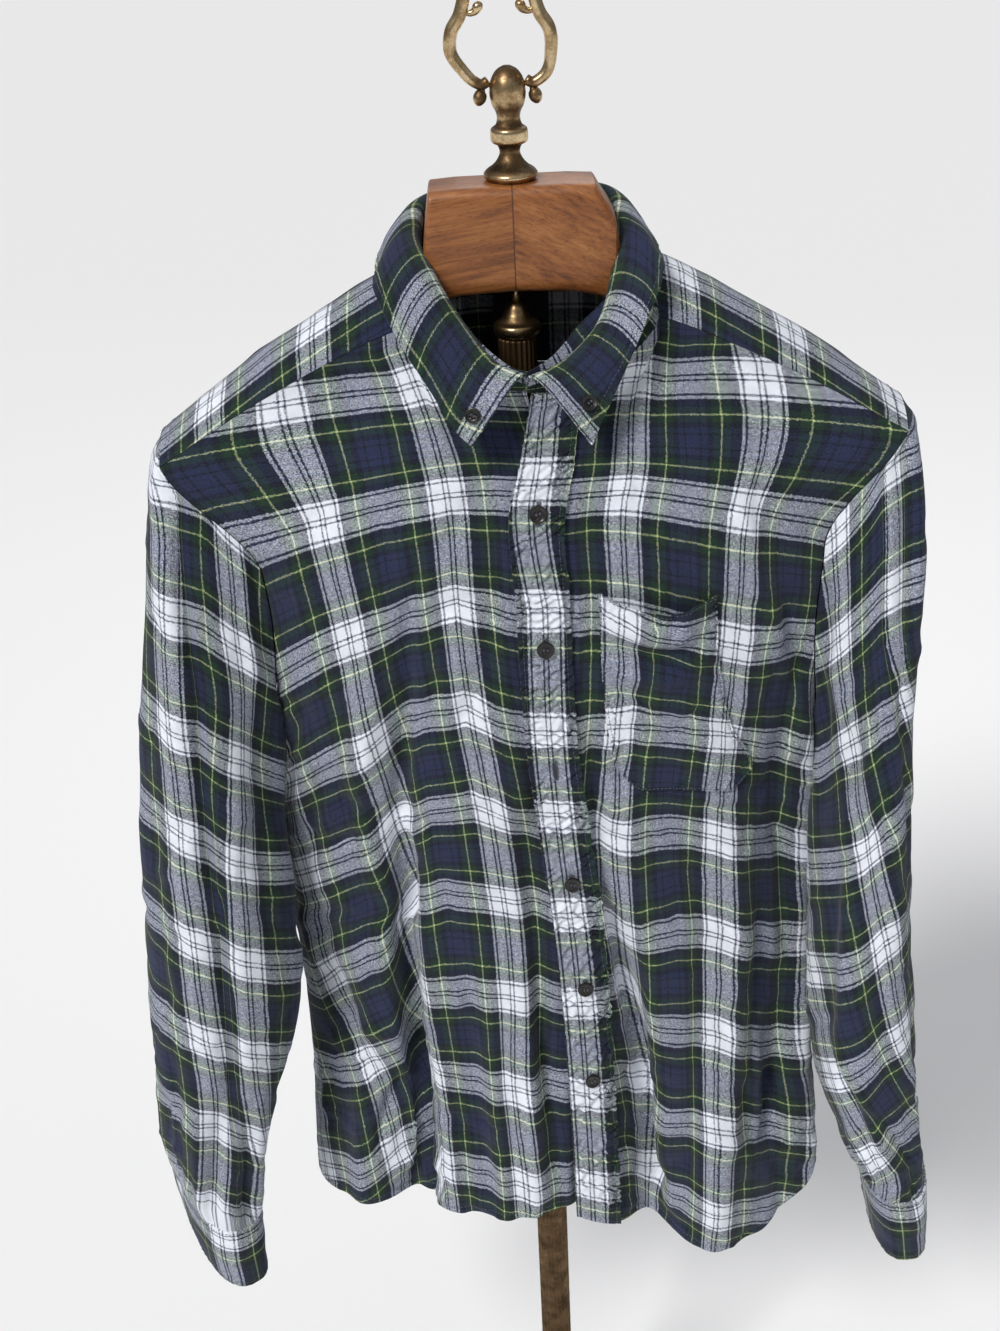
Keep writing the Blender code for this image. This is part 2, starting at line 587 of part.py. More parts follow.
def front(side):
    grid, a, down = panel_grid(side)
    outward = level_edge(grid_normals(grid) * -side, down, -1)
    t = np.clip((a - NECK_SHARE) / (1 - NECK_SHARE), 0, 1)
    keys = np.array(YOKE_SHARE)
    shared = along_polyline(seam_normal(side, keys), keys, t)
    neck = a < NECK_SHARE - 1e-9
    outward[0] = unit(np.where(neck[:, None], outward_of(grid[0]), shared))
    return grid, outward


def build_fronts():
    for side, name in ((1, "front_left"), (-1, "front_right")):
        grid, outward = front(side)
        sheet(name, grid, outward)


def build_placket():
    grid, outward = front(1)
    grid = grid[:, :3]
    outward = outward[:, :3]
    lower = grid + outward * (SEAM + 0.0002)
    cloth_wall("placket", lower + outward * CLOTH, lower)


def build_pocket():
    grid, outward = front(1)
    rows = slice(POCKET_ROWS[0], POCKET_ROWS[1] + 1)
    cols = slice(POCKET_COLUMNS[0], POCKET_COLUMNS[1] + 1)
    base = grid[rows, cols].copy()
    out = outward[rows, cols]
    base[-1, 0] = 0.5 * base[-1, 0] + 0.5 * base[-2, 0]
    base[-1, -1] = 0.5 * base[-1, -1] + 0.5 * base[-2, -1]
    r = np.arange(base.shape[0])[:, None] / (base.shape[0] - 1)
    c = np.arange(base.shape[1])[None, :] / (base.shape[1] - 1)
    gape = 0.009 * np.sin(math.pi * c) ** 1.5 * (1 - ease(r, 0.0, 0.45))
    lower = base + out * (SEAM + 0.0001 + gape)[..., None]
    sag = points(0 * gape, 0 * gape, -0.9 * gape)
    cloth_wall("pocket", lower + out * CLOTH + sag, lower + sag)


BACK_KEYS = np.linspace(-1, 1, 17)
NECK_KEYS = np.linspace(-1, 1, 25)
BACK_ROWS = (0.170, 0.200, 0.235, 0.270, 0.300, 0.345, 0.400, 0.460, 0.520, 0.580)
BACK_TOP_ROWS = 3


def back_grid(rows=BACK_ROWS, cols=23):
    a = np.linspace(-1, 1, cols)
    a = np.sign(a) * np.abs(a) ** 0.9
    keys = BACK_KEYS
    border = along_polyline(yoke_point(*back_seam(keys)), keys, a) + np.array([0.0, 0.0, -1.3 * SEAM])
    guess = TOP - border[:, 2]
    for _ in range(12):
        guess = np.clip(guess + (back_point(a, guess)[:, 2] - border[:, 2]), 0.05, 0.22)
    hem = read(HEM_BACK, HEM_NAMES, a)["down"]
    down = []
    for k in range(BACK_TOP_ROWS):
        down.append(guess + (rows[0] - guess) * k / BACK_TOP_ROWS)
    for row in rows:
        down.append(np.full_like(a, row))
    last = down[-1]
    for k in range(1, 4):
        down.append(last + (hem - last) * k / 3)
    down = np.array(down)
    down = np.minimum(down, hem[None, :] - 0.004 * np.arange(len(down) - 1, -1, -1)[:, None])
    grid = back_point(a[None, :], down)
    pull = border - grid[0]
    fade = 1 - ease(down, guess, guess + 0.07)
    return grid + pull[None] * fade[..., None], a, down


def build_back():
    grid, a, down = back_grid()
    outward = level_edge(level_edge(grid_normals(grid), down, 0), down, -1)
    outward[0] = unit(along_polyline(yoke_normal(*back_seam(BACK_KEYS)), BACK_KEYS, a))
    sheet("back", grid, outward)


def build_yoke():
    inner = np.stack(neck_flat(NECK_KEYS), axis=-1)
    outer = []
    for k in range(25):
        if k < 4:
            outer.append((-SHOULDER, -0.033 + 0.108 * k / 4))
        elif k <= 20:
            outer.append(back_seam((k - 12) / 8))
        else:
            outer.append((SHOULDER, 0.075 - 0.108 * (k - 20) / 4))
    outer = np.array(outer)
    share = np.array(YOKE_SHARE)[:, None, None]
    flat = inner[None] + (outer - inner)[None] * share
    grid = yoke_point(flat[..., 0], flat[..., 1])
    outward = yoke_normal(flat[..., 0], flat[..., 1])
    outward[0] = unit(outward[0] + 0.8 * outward_of(grid[0]))
    outward[:, 0] = seam_normal(-1, np.array(YOKE_SHARE))
    outward[:, -1] = seam_normal(1, np.array(YOKE_SHARE))
    sheet("yoke", grid, outward)


# ---- sleeves and cuffs --------------------------------------------------------------------------
def ring(side, row, angle):
    """One section of a sleeve; angle 0 is the front fold, a quarter turn on is the outside."""
    s = dict(zip(SLEEVE_NAMES.split(), row)) if not isinstance(row, dict) else row
    turn = math.radians(1.0) * s["turn"]
    long_way = np.cos(angle) * s["deep"]
    swell = 1 - s["taper"] + s["taper"] * np.cos(angle)
    short_way = np.sign(np.sin(angle)) * np.abs(np.sin(angle)) ** BLUNT * s["thick"] * swell
    x = s["x"] - side * np.sin(turn) * long_way + side * np.cos(turn) * short_way
    y = s["y"] - np.cos(turn) * long_way - np.sin(turn) * short_way
    z = s["z"] + s["lift"] * np.sin(angle)
    return points(x, y, z)


def armhole_loop(side):
    """The armhole seam, from the underarm up the front, over the shoulder and down the back."""
    grid, _, _ = panel_grid(side)
    up_front = grid[:TOP_ROWS + ROWS.index(0.300) + 1, -1][::-1]
    over = yoke_point(side * SHOULDER + np.zeros(3), -0.033 + 0.108 * np.array([0.25, 0.5, 0.75]))
    behind, _, _ = back_grid()
    down_back = behind[:BACK_TOP_ROWS + BACK_ROWS.index(0.300), -1 if side > 0 else 0]
    loop = np.concatenate([up_front, over, down_back])
    step = np.linalg.norm(np.diff(loop, axis=0, append=loop[:1]), axis=1)
    run = np.concatenate([[0], np.cumsum(step)[:-1]]) / step.sum()
    loop[:, 0] += side * 0.0008
    return loop, run


def sleeve_keys(side):
    """Key rings down a sleeve, the armhole first; column 0 is at the underarm."""
    loop, run = armhole_loop(side)
    rows = SLEEVE_LEFT if side > 0 else SLEEVE_RIGHT
    keys = [loop]
    for k, row in enumerate(rows):
        even = np.arange(len(run)) / len(run)
        share = run + (even - run) * min(1.0, k / 3)
        keys.append(ring(side, row, -math.pi / 2 + 2 * math.pi * share))
    return np.array(keys)


def through(keys, parts):
    """Smooth rings through the key rings, parts of each gap in turn."""
    n = len(keys)
    slope = np.zeros_like(keys)
    slope[1:-1] = (keys[2:] - keys[:-2]) / 2
    slope[0] = keys[1] - keys[0]
    slope[-1] = keys[-1] - keys[-2]
    rings = []
    for k in range(n - 1):
        for m in range(parts[k]):
            t = m / parts[k]
            value = (2 * t**3 - 3 * t**2 + 1) * keys[k] + (t**3 - 2 * t**2 + t) * slope[k]
            rings.append(value + (3 * t**2 - 2 * t**3) * keys[k + 1] + (t**3 - t**2) * slope[k + 1])
    rings.append(keys[-1])
    return np.array(rings)


def tube_normals(grid):
    out = grid_normals(grid, wrap=True)
    middle = grid.mean(axis=1, keepdims=True)
    lean = np.einsum("ijk,ijk->ij", out, grid - middle)
    return out if lean.mean() > 0 else -out


def build_sleeves():
    for side, name in ((1, "sleeve_left"), (-1, "sleeve_right")):
        keys = sleeve_keys(side)
        grid = through(keys, (5, 2, 2, 3, 2, 2, 2))
        outward = tube_normals(grid)
        outward[0] = unit(outward[0] * np.array([0.0, 1.0, 1.0]))
        outward[-1] = unit(outward[-1] * np.array([1.0, 1.0, 0.0]))
        sheet(name, grid, outward, wrap=True)


def build_cuffs():
    for side, name, rows in ((1, "cuff_left", CUFF_LEFT), (-1, "cuff_right", CUFF_RIGHT)):
        angle = np.linspace(0, 2 * math.pi, 21, endpoint=False) - math.pi / 2
        keys = np.array([ring(side, row, angle) for row in rows])
        keys[0, :, 2] -= SEAM
        grid = through(keys, (1, 2))
        outward = tube_normals(grid)
        outward[0] = unit(outward[0] * np.array([1.0, 1.0, 0.0]))
        sheet(name, grid, outward, wrap=True)


# ---- collar ---------------------------------------------------------------------------------------
def stand_grid(along):
    base = neck_point(along) + np.array([0.0, 0.0, 2 * SEAM])
    s = read(STAND_TOP, STAND_NAMES, along)
    top = points(s["x"], s["y"], s["z"])
    share = np.linspace(0, 1, 4)[:, None, None]
    return base[None] + (top - base)[None] * share


def outward_of(line):
    """Level direction away from the neck for each point of a line round it."""
    flat = line - np.array([0.004, -0.015, 0.0])
    flat = flat * np.array([1.0, 1.0, 0.0])
    return unit(flat)


def face_out(grid, normals):
    away = outward_of(grid)
    flip = np.sign(np.einsum("ijk,ijk->ij", normals, away).mean())
    return normals * flip


def build_collar():
    fronts = neck_along([a for a in ACROSS if a < NECK_SHARE - 1e-9])
    grid = stand_grid(np.concatenate([-fronts, 0.4 * NECK_KEYS, fronts[::-1]]))
    outward = face_out(grid, grid_normals(grid))
    outward[0] = outward_of(grid[0])
    sheet("collar_stand", grid, outward)
    along = np.linspace(-1, 1, 33)
    c = read(COLLAR, COLLAR_NAMES, along)
    roll = points(c["x_roll"], c["y_roll"], c["z_roll"])
    edge = points(c["x_edge"], c["y_edge"], c["z_edge"])
    away = outward_of(roll)
    up = np.array([0.0, 0.0, 1.0])
    p0 = roll + away * (CLOTH + 0.0008) + up * 0.0006
    p1 = p0 + up * 0.0075 + away * 0.0020
    p2 = p0 + (edge - p0) * 0.5 + away * 0.007 + up * 0.005
    t = np.array([0, 0.1, 0.22, 0.38, 0.58, 0.78, 1.0])[:, None, None]
    fall = (1 - t) ** 3 * p0 + 3 * (1 - t) ** 2 * t * p1 + 3 * (1 - t) * t**2 * p2 + t**3 * edge
    outward = face_out(fall, grid_normals(fall))
    cloth_wall("collar", fall + CLOTH * outward, fall)
    return fall + CLOTH * outward


def build_label():
    out = np.linspace(-0.014, 0.022, 4)[None, :] - MIDDLE
    across = np.linspace(0.046, 0.086, 5)[:, None]
    grid = yoke_point(out + 0 * across, across + 0 * out)
    normal = grid_normals(grid)
    normal = normal * np.sign(normal[2, 2, 1])
    outer = grid - normal * (CLOTH + 0.0010)
    cloth_wall("label", outer, outer - normal * 0.0010, slot=(LABEL, 0.0, 0.9))


# ---- buttons ----------------------------------------------------------------------------------------
def button_points(radius):
    """Rings of a round button in its own plane, height last."""
    angle = np.linspace(0, 2 * math.pi, 14, endpoint=False)
    rows = ((0.92, 0.0), (1.0, 0.0008), (0.95, 0.0022), (0.74, 0.0024), (0.62, 0.0017))
    return [points(r * radius * np.cos(angle), r * radius * np.sin(angle), h) for r, h in rows], angle


def build_button(name, place, facing, size):
    facing = facing / np.linalg.norm(facing)
    side = np.cross(np.array([0.0, 0.0, 1.0]), facing)
    side = side / np.linalg.norm(side)
    up = np.cross(facing, side)
    rings, angle = button_points(size / 2)
    verts = []
    for part in rings:
        for p in part:
            verts.append(place + side * p[0] + up * p[1] + facing * p[2])
    count = len(angle)
    number = np.arange(len(verts)).reshape(len(rings), count)
    faces = []
    for r in range(len(rings) - 1):
        faces += band_faces(list(number[r]), list(number[r + 1]), True)
    faces.append(tuple(reversed(number[0])))
    faces.append(tuple(number[-1]))
    make_solid(name, verts, faces, SHELL)


def build_buttons(fall):
    grid, outward = front(1)
    _, _, down = panel_grid(1)
    for k, place in enumerate((0.134, 0.226, 0.409, 0.501, 0.585)):
        line = grid[:, 1]
        x, y, z = (np.interp(place, down[:, 1], line[:, m]) for m in range(3))
        n = np.array([np.interp(place, down[:, 1], outward[:, 1, m]) for m in range(3)])
        n = n / np.linalg.norm(n)
        build_button("button_%d" % (k + 1), np.array([x, y, z]) + n * (2 * SEAM + CLOTH + 0.0003), n, BUTTON)
    normal = face_out(fall, grid_normals(fall))
    tips = 0.35 * fall[-2] + 0.65 * fall[-1]
    for name, col, inner in (("button_collar_right", 1, 2), ("button_collar_left", -2, -3)):
        n = normal[-2, col]
        spot = 0.6 * tips[col] + 0.4 * tips[inner]
        build_button(name, spot + n * (SEAM + 0.0006), n, SMALL_BUTTON)
    for side, name, rows in ((1, "button_cuff_left", CUFF_LEFT), (-1, "button_cuff_right", CUFF_RIGHT)):
        angle = math.radians(130 if side > 0 else 240)
        here = ring(side, rows[1], np.array([angle - 0.05, angle, angle + 0.05]))
        along = here[2] - here[0]
        n = np.array([along[1], -along[0], 0.0])
        n = n / np.linalg.norm(n)
        centre = np.array([rows[1][1], rows[1][2], 0.0])
        if np.dot(n, (here[1] - centre) * np.array([1, 1, 0])) < 0:
            n = -n
        build_button(name, here[1] + n * (SEAM + 0.0008), n, BUTTON)


# ---- wood and brass -----------------------------------------------------------------------------------
def loft(name, sections, slot):
    """A solid through a run of closed sections, its ends capped."""
    count = len(sections[0])
    verts = np.concatenate(sections)
    number = np.arange(len(verts)).reshape(len(sections), count)
    faces = []
    for r in range(len(sections) - 1):
        faces += band_faces(list(number[r]), list(number[r + 1]), True)
    faces.append(tuple(reversed(number[0])))
    faces.append(tuple(number[-1]))
    return make_solid(name, verts, faces, slot)


def build_hanger():
    angle = np.linspace(0, 2 * math.pi, 20, endpoint=False) + math.pi / 20
    power = 0.32
    ring_y = np.sign(np.cos(angle)) * np.abs(np.cos(angle)) ** power
    ring_z = np.sign(np.sin(angle)) * np.abs(np.sin(angle)) ** power
    outs = [row[0] for row in HANGER]
    sections = []
    for out in [-v for v in outs[::-1]] + outs[1:]:
        h = read(HANGER, HANGER_NAMES, abs(out))
        middle = (h["top"] + h["under"]) / 2
        half = (h["top"] - h["under"]) / 2
        y = ring_y * h["half"] - 0.012 * (out / 0.24) ** 2
        shift = MIDDLE * (ease(-out, 0.045, 0.08) + ease(out, 0.046, 0.0505))
        fall = (YOKE_FRONT - np.sqrt(YOKE_FRONT**2 - (ring_y * h["half"]) ** 2)) * (ring_z > 0)
        z = middle + ring_z * half - fall * ease(abs(out), 0.06, 0.09) + 0.0012 * ease(out, 0.09, 0.13)
        sections.append(points(shift + out, y, z))
    loft("hanger", sections, TIMBER)


def turned(name, rows, count=24, flute=0.0):
    sections = []
    angle = np.linspace(0, 2 * math.pi, count, endpoint=False)
    for z, radius in rows:
        r = radius * (1 - flute * (np.arange(count) % 2))
        sections.append(points(r * np.cos(angle), r * np.sin(angle), z))
    return loft(name, sections, METAL)


def rod(name, x, z, radius):
    """A bent rod in the plane of the stand, through the places given."""
    way = unit(np.stack([np.gradient(x), np.gradient(z)], axis=-1))
    angle = np.linspace(0, 2 * math.pi, 8, endpoint=False)
    sections = []
    for k in range(len(x)):
        side = np.array([way[k, 1], 0.0, -way[k, 0]])
        centre = np.array([x[k] + HANDLE_SHIFT * ease(z[k], 1.160, 1.176), 0.0, z[k]])
        sections.append(centre + radius[k] * (np.cos(angle)[:, None] * side
                                              + np.sin(angle)[:, None] * np.array([0.0, 1.0, 0.0])))
    return loft(name, sections, METAL)


def joined(whole, part):
    """Cast one piece in with another."""
    part.hide_render = True
    part.display_type = "WIRE"
    union = whole.modifiers.new("join", "BOOLEAN")
    union.operation = "UNION"
    union.solver = "EXACT"
    union.object = part


def build_handle():
    half = np.array(HANDLE)
    path = np.concatenate([half, (half * np.array([-1, 1]))[::-1][1:]])
    step = np.concatenate([[0], np.cumsum(np.linalg.norm(np.diff(path, axis=0), axis=1))])
    at = np.linspace(0, step[-1], 35)
    x = np.interp(at, step, path[:, 0])
    z = np.interp(at, step, path[:, 1])
    for _ in range(2):
        x[1:-1] = (x[:-2] + 2 * x[1:-1] + x[2:]) / 4
        z[1:-1] = (z[:-2] + 2 * z[1:-1] + z[2:]) / 4
    share = np.abs(np.linspace(-1, 1, len(x)))
    whole = rod("handle", x, z, 0.0032 + 0.0008 * np.sin(share * math.pi))
    for side, name in ((1, "left"), (-1, "right")):
        knob = np.array(KNOB)
        joined(whole, rod("knob_" + name, side * knob[:, 0], knob[:, 1], knob[:, 2]))
        curl = np.array(CURL)
        joined(whole, rod("curl_" + name, side * curl[:, 0], curl[:, 1], curl[:, 2]))


def build_stand():
    build_hanger()
    turned("finial", STEM)
    build_handle()
    turned("column_cap", CAP)
    turned("column", ((-0.0897, 0.0125), (1.0019, 0.0125)), 48, 0.07)
    turned("base", BASE, 36)


def build_all():
    for obj in list(bpy.data.objects):
        bpy.data.objects.remove(obj, do_unlink=True)
    prepare_cloth()
    build_fronts()
    build_placket()
    build_pocket()
    build_back()
    build_yoke()
    build_sleeves()
    build_cuffs()
    fall = build_collar()
    build_label()
    build_buttons(fall)
    build_stand()


build_all()
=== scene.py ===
"""Looks of the flannel shirt on its valet stand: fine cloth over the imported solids, stitching, wood and brass."""

import json
import math

import bmesh
import bpy
import numpy as np
from mathutils import Matrix, Vector

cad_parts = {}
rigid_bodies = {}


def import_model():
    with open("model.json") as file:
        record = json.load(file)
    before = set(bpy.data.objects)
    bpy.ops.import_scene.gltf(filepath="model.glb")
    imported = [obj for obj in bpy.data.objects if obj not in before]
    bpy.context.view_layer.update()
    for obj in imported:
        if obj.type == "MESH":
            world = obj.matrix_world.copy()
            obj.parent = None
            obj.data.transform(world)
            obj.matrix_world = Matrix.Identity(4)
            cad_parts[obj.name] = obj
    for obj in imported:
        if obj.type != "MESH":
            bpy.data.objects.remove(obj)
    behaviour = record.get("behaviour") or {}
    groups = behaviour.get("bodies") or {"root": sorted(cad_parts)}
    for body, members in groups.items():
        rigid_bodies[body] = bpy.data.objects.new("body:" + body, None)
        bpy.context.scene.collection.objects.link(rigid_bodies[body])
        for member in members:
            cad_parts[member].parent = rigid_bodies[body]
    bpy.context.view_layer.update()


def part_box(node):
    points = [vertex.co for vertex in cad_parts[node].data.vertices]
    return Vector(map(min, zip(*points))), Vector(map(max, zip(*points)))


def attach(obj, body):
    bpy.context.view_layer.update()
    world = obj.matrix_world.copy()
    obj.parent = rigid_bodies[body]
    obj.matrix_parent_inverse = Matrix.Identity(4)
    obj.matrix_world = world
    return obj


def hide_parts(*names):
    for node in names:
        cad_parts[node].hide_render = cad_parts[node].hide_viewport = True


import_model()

# ---- driving sizes, metres; heights are counted from DATUM above the floor ------------------------
DATUM = 0.150
CLOTH = 0.0016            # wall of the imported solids
SKIN = 0.0009             # thickness of the flannel shown
SEAM = 0.0003
TOP = 1.050
MIDDLE = 0.007
ARM_BOTTOM = 0.300
ARM_WIDEST = 0.170
ARM_FRONT = 0.050
ARM_BACK = 0.036
YOKE_FRONT = 0.036
YOKE_BACK = 0.042
NECK_CORNER = 0.079
SHOULDER = 0.236
BAND = 0.034
UNDER = 0.0036
NECK_SHARE = 0.26
BLUNT = 0.75
REPEAT = 0.0785           # one repeat of the tartan
FIRST_BAND = 0.1250       # down to the middle of the first white band on the fronts
BUTTON_DOWN = (0.134, 0.226, 0.409, 0.501, 0.585)
HOLE_DOWN = (0.134, 0.226, 0.317, 0.409, 0.501, 0.585)

# ---- the drape, the same tables that the solids are worked out from -------------------------------
CENTRE_NAMES = "down x_over x_under y"
CENTRE = (
    (0.040, 0.0045, 0.0040, -0.0770),
    (0.060, 0.0030, 0.0070, -0.0690),
    (0.080, 0.0000, 0.0100, -0.0680),
    (0.105, -0.0040, 0.0120, -0.0760),
    (0.130, -0.0100, 0.0120, -0.0810),
    (0.200, -0.0090, 0.0130, -0.0835),
    (0.290, -0.0070, 0.0150, -0.0840),
    (0.370, 0.0000, 0.0170, -0.0840),
    (0.450, 0.0080, 0.0220, -0.0830),
    (0.520, 0.0120, 0.0250, -0.0820),
    (0.600, 0.0150, 0.0280, -0.0800),
    (0.680, 0.0170, 0.0300, -0.0790),
    (0.760, 0.0180, 0.0310, -0.0780),
)
PANEL_NAMES = "down x_out y_out mid_drop out_drop flat turn"
PANEL_RIGHT = (
    (0.050, -0.2340, -0.004, -0.016, -0.055, 0.60, 0.55),
    (0.080, -0.2230, -0.003, -0.018, -0.055, 0.62, 0.62),
    (0.110, -0.2070, -0.002, -0.018, -0.055, 0.66, 0.70),
    (0.160, -0.1920, 0.000, -0.019, -0.055, 0.70, 0.80),
    (0.220, -0.1860, 0.000, -0.020, -0.055, 0.70, 0.80),
    (0.300, -0.1810, 0.002, -0.022, -0.050, 0.66, 0.72),
    (0.370, -0.1780, 0.004, -0.016, -0.035, 0.62, 0.66),
    (0.450, -0.1760, 0.006, -0.004, -0.022, 0.60, 0.62),
    (0.530, -0.1780, 0.006, 0.003, -0.016, 0.60, 0.62),
    (0.610, -0.1830, 0.004, 0.007, -0.018, 0.60, 0.62),
    (0.680, -0.1870, 0.000, 0.010, -0.022, 0.60, 0.62),
    (0.760, -0.1900, -0.004, 0.012, -0.025, 0.60, 0.62),
)
PANEL_LEFT = (
    (0.050, 0.2480, -0.004, -0.016, -0.055, 0.60, 0.55),
    (0.080, 0.2350, -0.003, -0.018, -0.055, 0.62, 0.62),
    (0.110, 0.2210, -0.002, -0.019, -0.055, 0.66, 0.70),
    (0.160, 0.2130, 0.000, -0.019, -0.055, 0.70, 0.80),
    (0.220, 0.2050, 0.000, -0.020, -0.055, 0.70, 0.80),
    (0.300, 0.2000, 0.002, -0.021, -0.050, 0.66, 0.72),
    (0.370, 0.1980, 0.004, -0.022, -0.052, 0.62, 0.66),
    (0.450, 0.1990, 0.006, -0.024, -0.066, 0.60, 0.62),
    (0.530, 0.2040, 0.006, -0.034, -0.088, 0.60, 0.62),
    (0.610, 0.2120, 0.004, -0.054, -0.100, 0.60, 0.62),
    (0.680, 0.2220, 0.000, -0.066, -0.092, 0.60, 0.62),
    (0.760, 0.2300, -0.004, -0.070, -0.085, 0.60, 0.62),
)
BACK_NAMES = "down y_mid"
BACK = (
    (0.080, 0.0560),
    (0.160, 0.0660),
    (0.300, 0.0720),
    (0.450, 0.0690),
    (0.600, 0.0600),
    (0.700, 0.0500),
    (0.800, 0.0420),
)
HEM_NAMES = "across down"
HEM_RIGHT = ((0.0, 0.727), (0.25, 0.738), (0.50, 0.744), (0.75, 0.736), (0.90, 0.728), (1.0, 0.705))
HEM_LEFT = ((0.0, 0.727), (0.25, 0.728), (0.50, 0.724), (0.75, 0.690), (0.90, 0.640), (1.0, 0.600))
HEM_BACK = ((-1.0, 0.705), (-0.75, 0.760), (0.0, 0.785), (0.75, 0.735), (1.0, 0.600))
FOLD_NAMES = "across_top across_low from_down to_down out_top out_low width"
FOLDS_RIGHT = (
    (0.28, 0.40, 0.20, 0.44, -0.003, -0.007, 0.050),
    (0.40, 0.43, 0.44, 0.76, -0.007, -0.026, 0.062),
    (0.17, 0.17, 0.40, 0.76, 0.000, 0.011, 0.060),
    (0.56, 0.58, 0.44, 0.76, 0.000, 0.009, 0.060),
    (0.66, 0.70, 0.10, 0.50, 0.000, 0.004, 0.120),
)
FOLDS_LEFT = (
    (0.140, 0.175, 0.30, 0.76, 0.000, -0.030, 0.062),
    (0.29, 0.33, 0.30, 0.76, 0.000, 0.010, 0.080),
    (0.60, 0.60, 0.16, 0.76, -0.003, -0.009, 0.070),
    (0.78, 0.78, 0.34, 0.74, 0.002, 0.006, 0.060),
)
RIDGE_NAMES = "out z"
RIDGE = (
    (0.000, 1.0620), (0.050, 1.0600), (0.076, 1.0530), (0.090, 1.0470), (0.120, 1.0305),
    (0.150, 1.0125), (0.178, 0.9950), (0.205, 0.9765), (0.225, 0.9625), (0.240, 0.9520),
)
# the neck hole, as a half: place along it, then distance out and across the yoke
NECK_NAMES = "along out across"
NECK = (
    (0.00, 0.000, 0.038), (0.20, 0.030, 0.037), (0.35, 0.050, 0.033), (0.55, 0.066, 0.020), (0.75, 0.072, 0.000),
    (0.90, 0.077, -0.030), (1.00, 0.079, -0.051),
)
COLLAR_NAMES = "along x_roll y_roll z_roll x_edge y_edge z_edge"
COLLAR = (
    (-1.00, 0.0042, -0.0842, 1.0030, -0.0310, -0.0970, 0.9660),
    (-0.85, -0.0150, -0.0735, 1.0090, -0.0420, -0.0920, 0.9780),
    (-0.70, -0.0320, -0.0540, 1.0250, -0.0560, -0.0840, 1.0000),
    (-0.50, -0.0500, -0.0340, 1.0520, -0.0745, -0.0640, 1.0280),
    (-0.30, -0.0600, 0.0050, 1.0700, -0.0850, -0.0340, 1.0500),
    (-0.14, -0.0480, 0.0330, 1.0850, -0.0720, 0.0400, 1.0480),
    (0.00, 0.0040, 0.0400, 1.0890, 0.0050, 0.0600, 1.0460),
    (0.14, 0.0560, 0.0330, 1.0850, 0.0790, 0.0400, 1.0480),
    (0.30, 0.0640, 0.0050, 1.0680, 0.0880, -0.0340, 1.0540),
    (0.50, 0.0590, -0.0300, 1.0420, 0.0820, -0.0560, 1.0370),
    (0.70, 0.0450, -0.0550, 1.0180, 0.0670, -0.0720, 1.0110),
    (0.85, 0.0235, -0.0735, 1.0055, 0.0530, -0.0860, 0.9880),
    (1.00, 0.0030, -0.0850, 1.0025, 0.0400, -0.0980, 0.9640),
)
STAND_NAMES = "along x y z"
STAND_TOP = (
    (-1.00, 0.0025, -0.0790, 1.0040),
    (-0.85, -0.0080, -0.0720, 1.0070),
    (-0.70, -0.0250, -0.0560, 1.0190),
    (-0.50, -0.0495, -0.0350, 1.0515),
    (-0.40, -0.0545, -0.0200, 1.0588),
    (-0.30, -0.0588, -0.0040, 1.0660),
    (-0.14, -0.0480, 0.0330, 1.0850),
    (0.00, 0.0040, 0.0400, 1.0890),
    (0.14, 0.0560, 0.0330, 1.0850),
    (0.30, 0.0633, -0.0020, 1.0634),
    (0.40, 0.0618, -0.0190, 1.0505),
    (0.50, 0.0575, -0.0330, 1.0395),
    (0.70, 0.0360, -0.0550, 1.0240),
    (0.85, 0.0210, -0.0700, 1.0120),
    (1.00, 0.0055, -0.0790, 1.0040),
)
SLEEVE_NAMES = "z x y deep thick turn lift taper"
SLEEVE_RIGHT = (
    (0.800, -0.2170, -0.012, 0.068, 0.0310, 8.0, 0.125, 0.20),
    (0.720, -0.2260, -0.024, 0.070, 0.0405, 10.0, 0.085, 0.20),
    (0.620, -0.2350, -0.038, 0.070, 0.0530, 12.0, 0.045, 0.20),
    (0.520, -0.2440, -0.048, 0.067, 0.0570, 14.0, 0.015, 0.22),
    (0.440, -0.2560, -0.052, 0.064, 0.0500, 20.0, 0.000, 0.26),
    (0.385, -0.2650, -0.053, 0.063, 0.0400, 28.0, 0.000, 0.30),
    (0.352, -0.2680, -0.053, 0.063, 0.0290, 34.0, 0.000, 0.34),
)
SLEEVE_LEFT = (
    (0.800, 0.2320, -0.012, 0.068, 0.0275, 4.0, 0.125, 0.20),
    (0.720, 0.2315, -0.024, 0.070, 0.0290, 4.0, 0.085, 0.20),
    (0.620, 0.2335, -0.038, 0.070, 0.0315, 5.0, 0.045, 0.20),
    (0.520, 0.2380, -0.048, 0.067, 0.0345, 5.0, 0.015, 0.20),
    (0.440, 0.2440, -0.054, 0.064, 0.0350, 4.0, 0.000, 0.20),
    (0.385, 0.2530, -0.057, 0.062, 0.0320, 3.0, 0.000, 0.20),
    (0.357, 0.2610, -0.057, 0.061, 0.0280, 2.0, 0.000, 0.20),
)
CUFF_RIGHT = (
    (0.352, -0.2680, -0.053, 0.063, 0.0290, 34.0, 0.000, 0.34),
    (0.324, -0.2675, -0.056, 0.060, 0.0255, 35.0, 0.000, 0.35),
    (0.295, -0.2635, -0.061, 0.054, 0.0235, 36.0, 0.000, 0.34),
)
CUFF_LEFT = (
    (0.357, 0.2610, -0.057, 0.061, 0.0280, 2.0, 0.000, 0.20),
    (0.328, 0.2650, -0.056, 0.061, 0.0250, 1.0, 0.000, 0.20),
    (0.297, 0.2680, -0.055, 0.061, 0.0235, 0.0, 0.000, 0.20),
)
HANGER_NAMES = "out top under half"
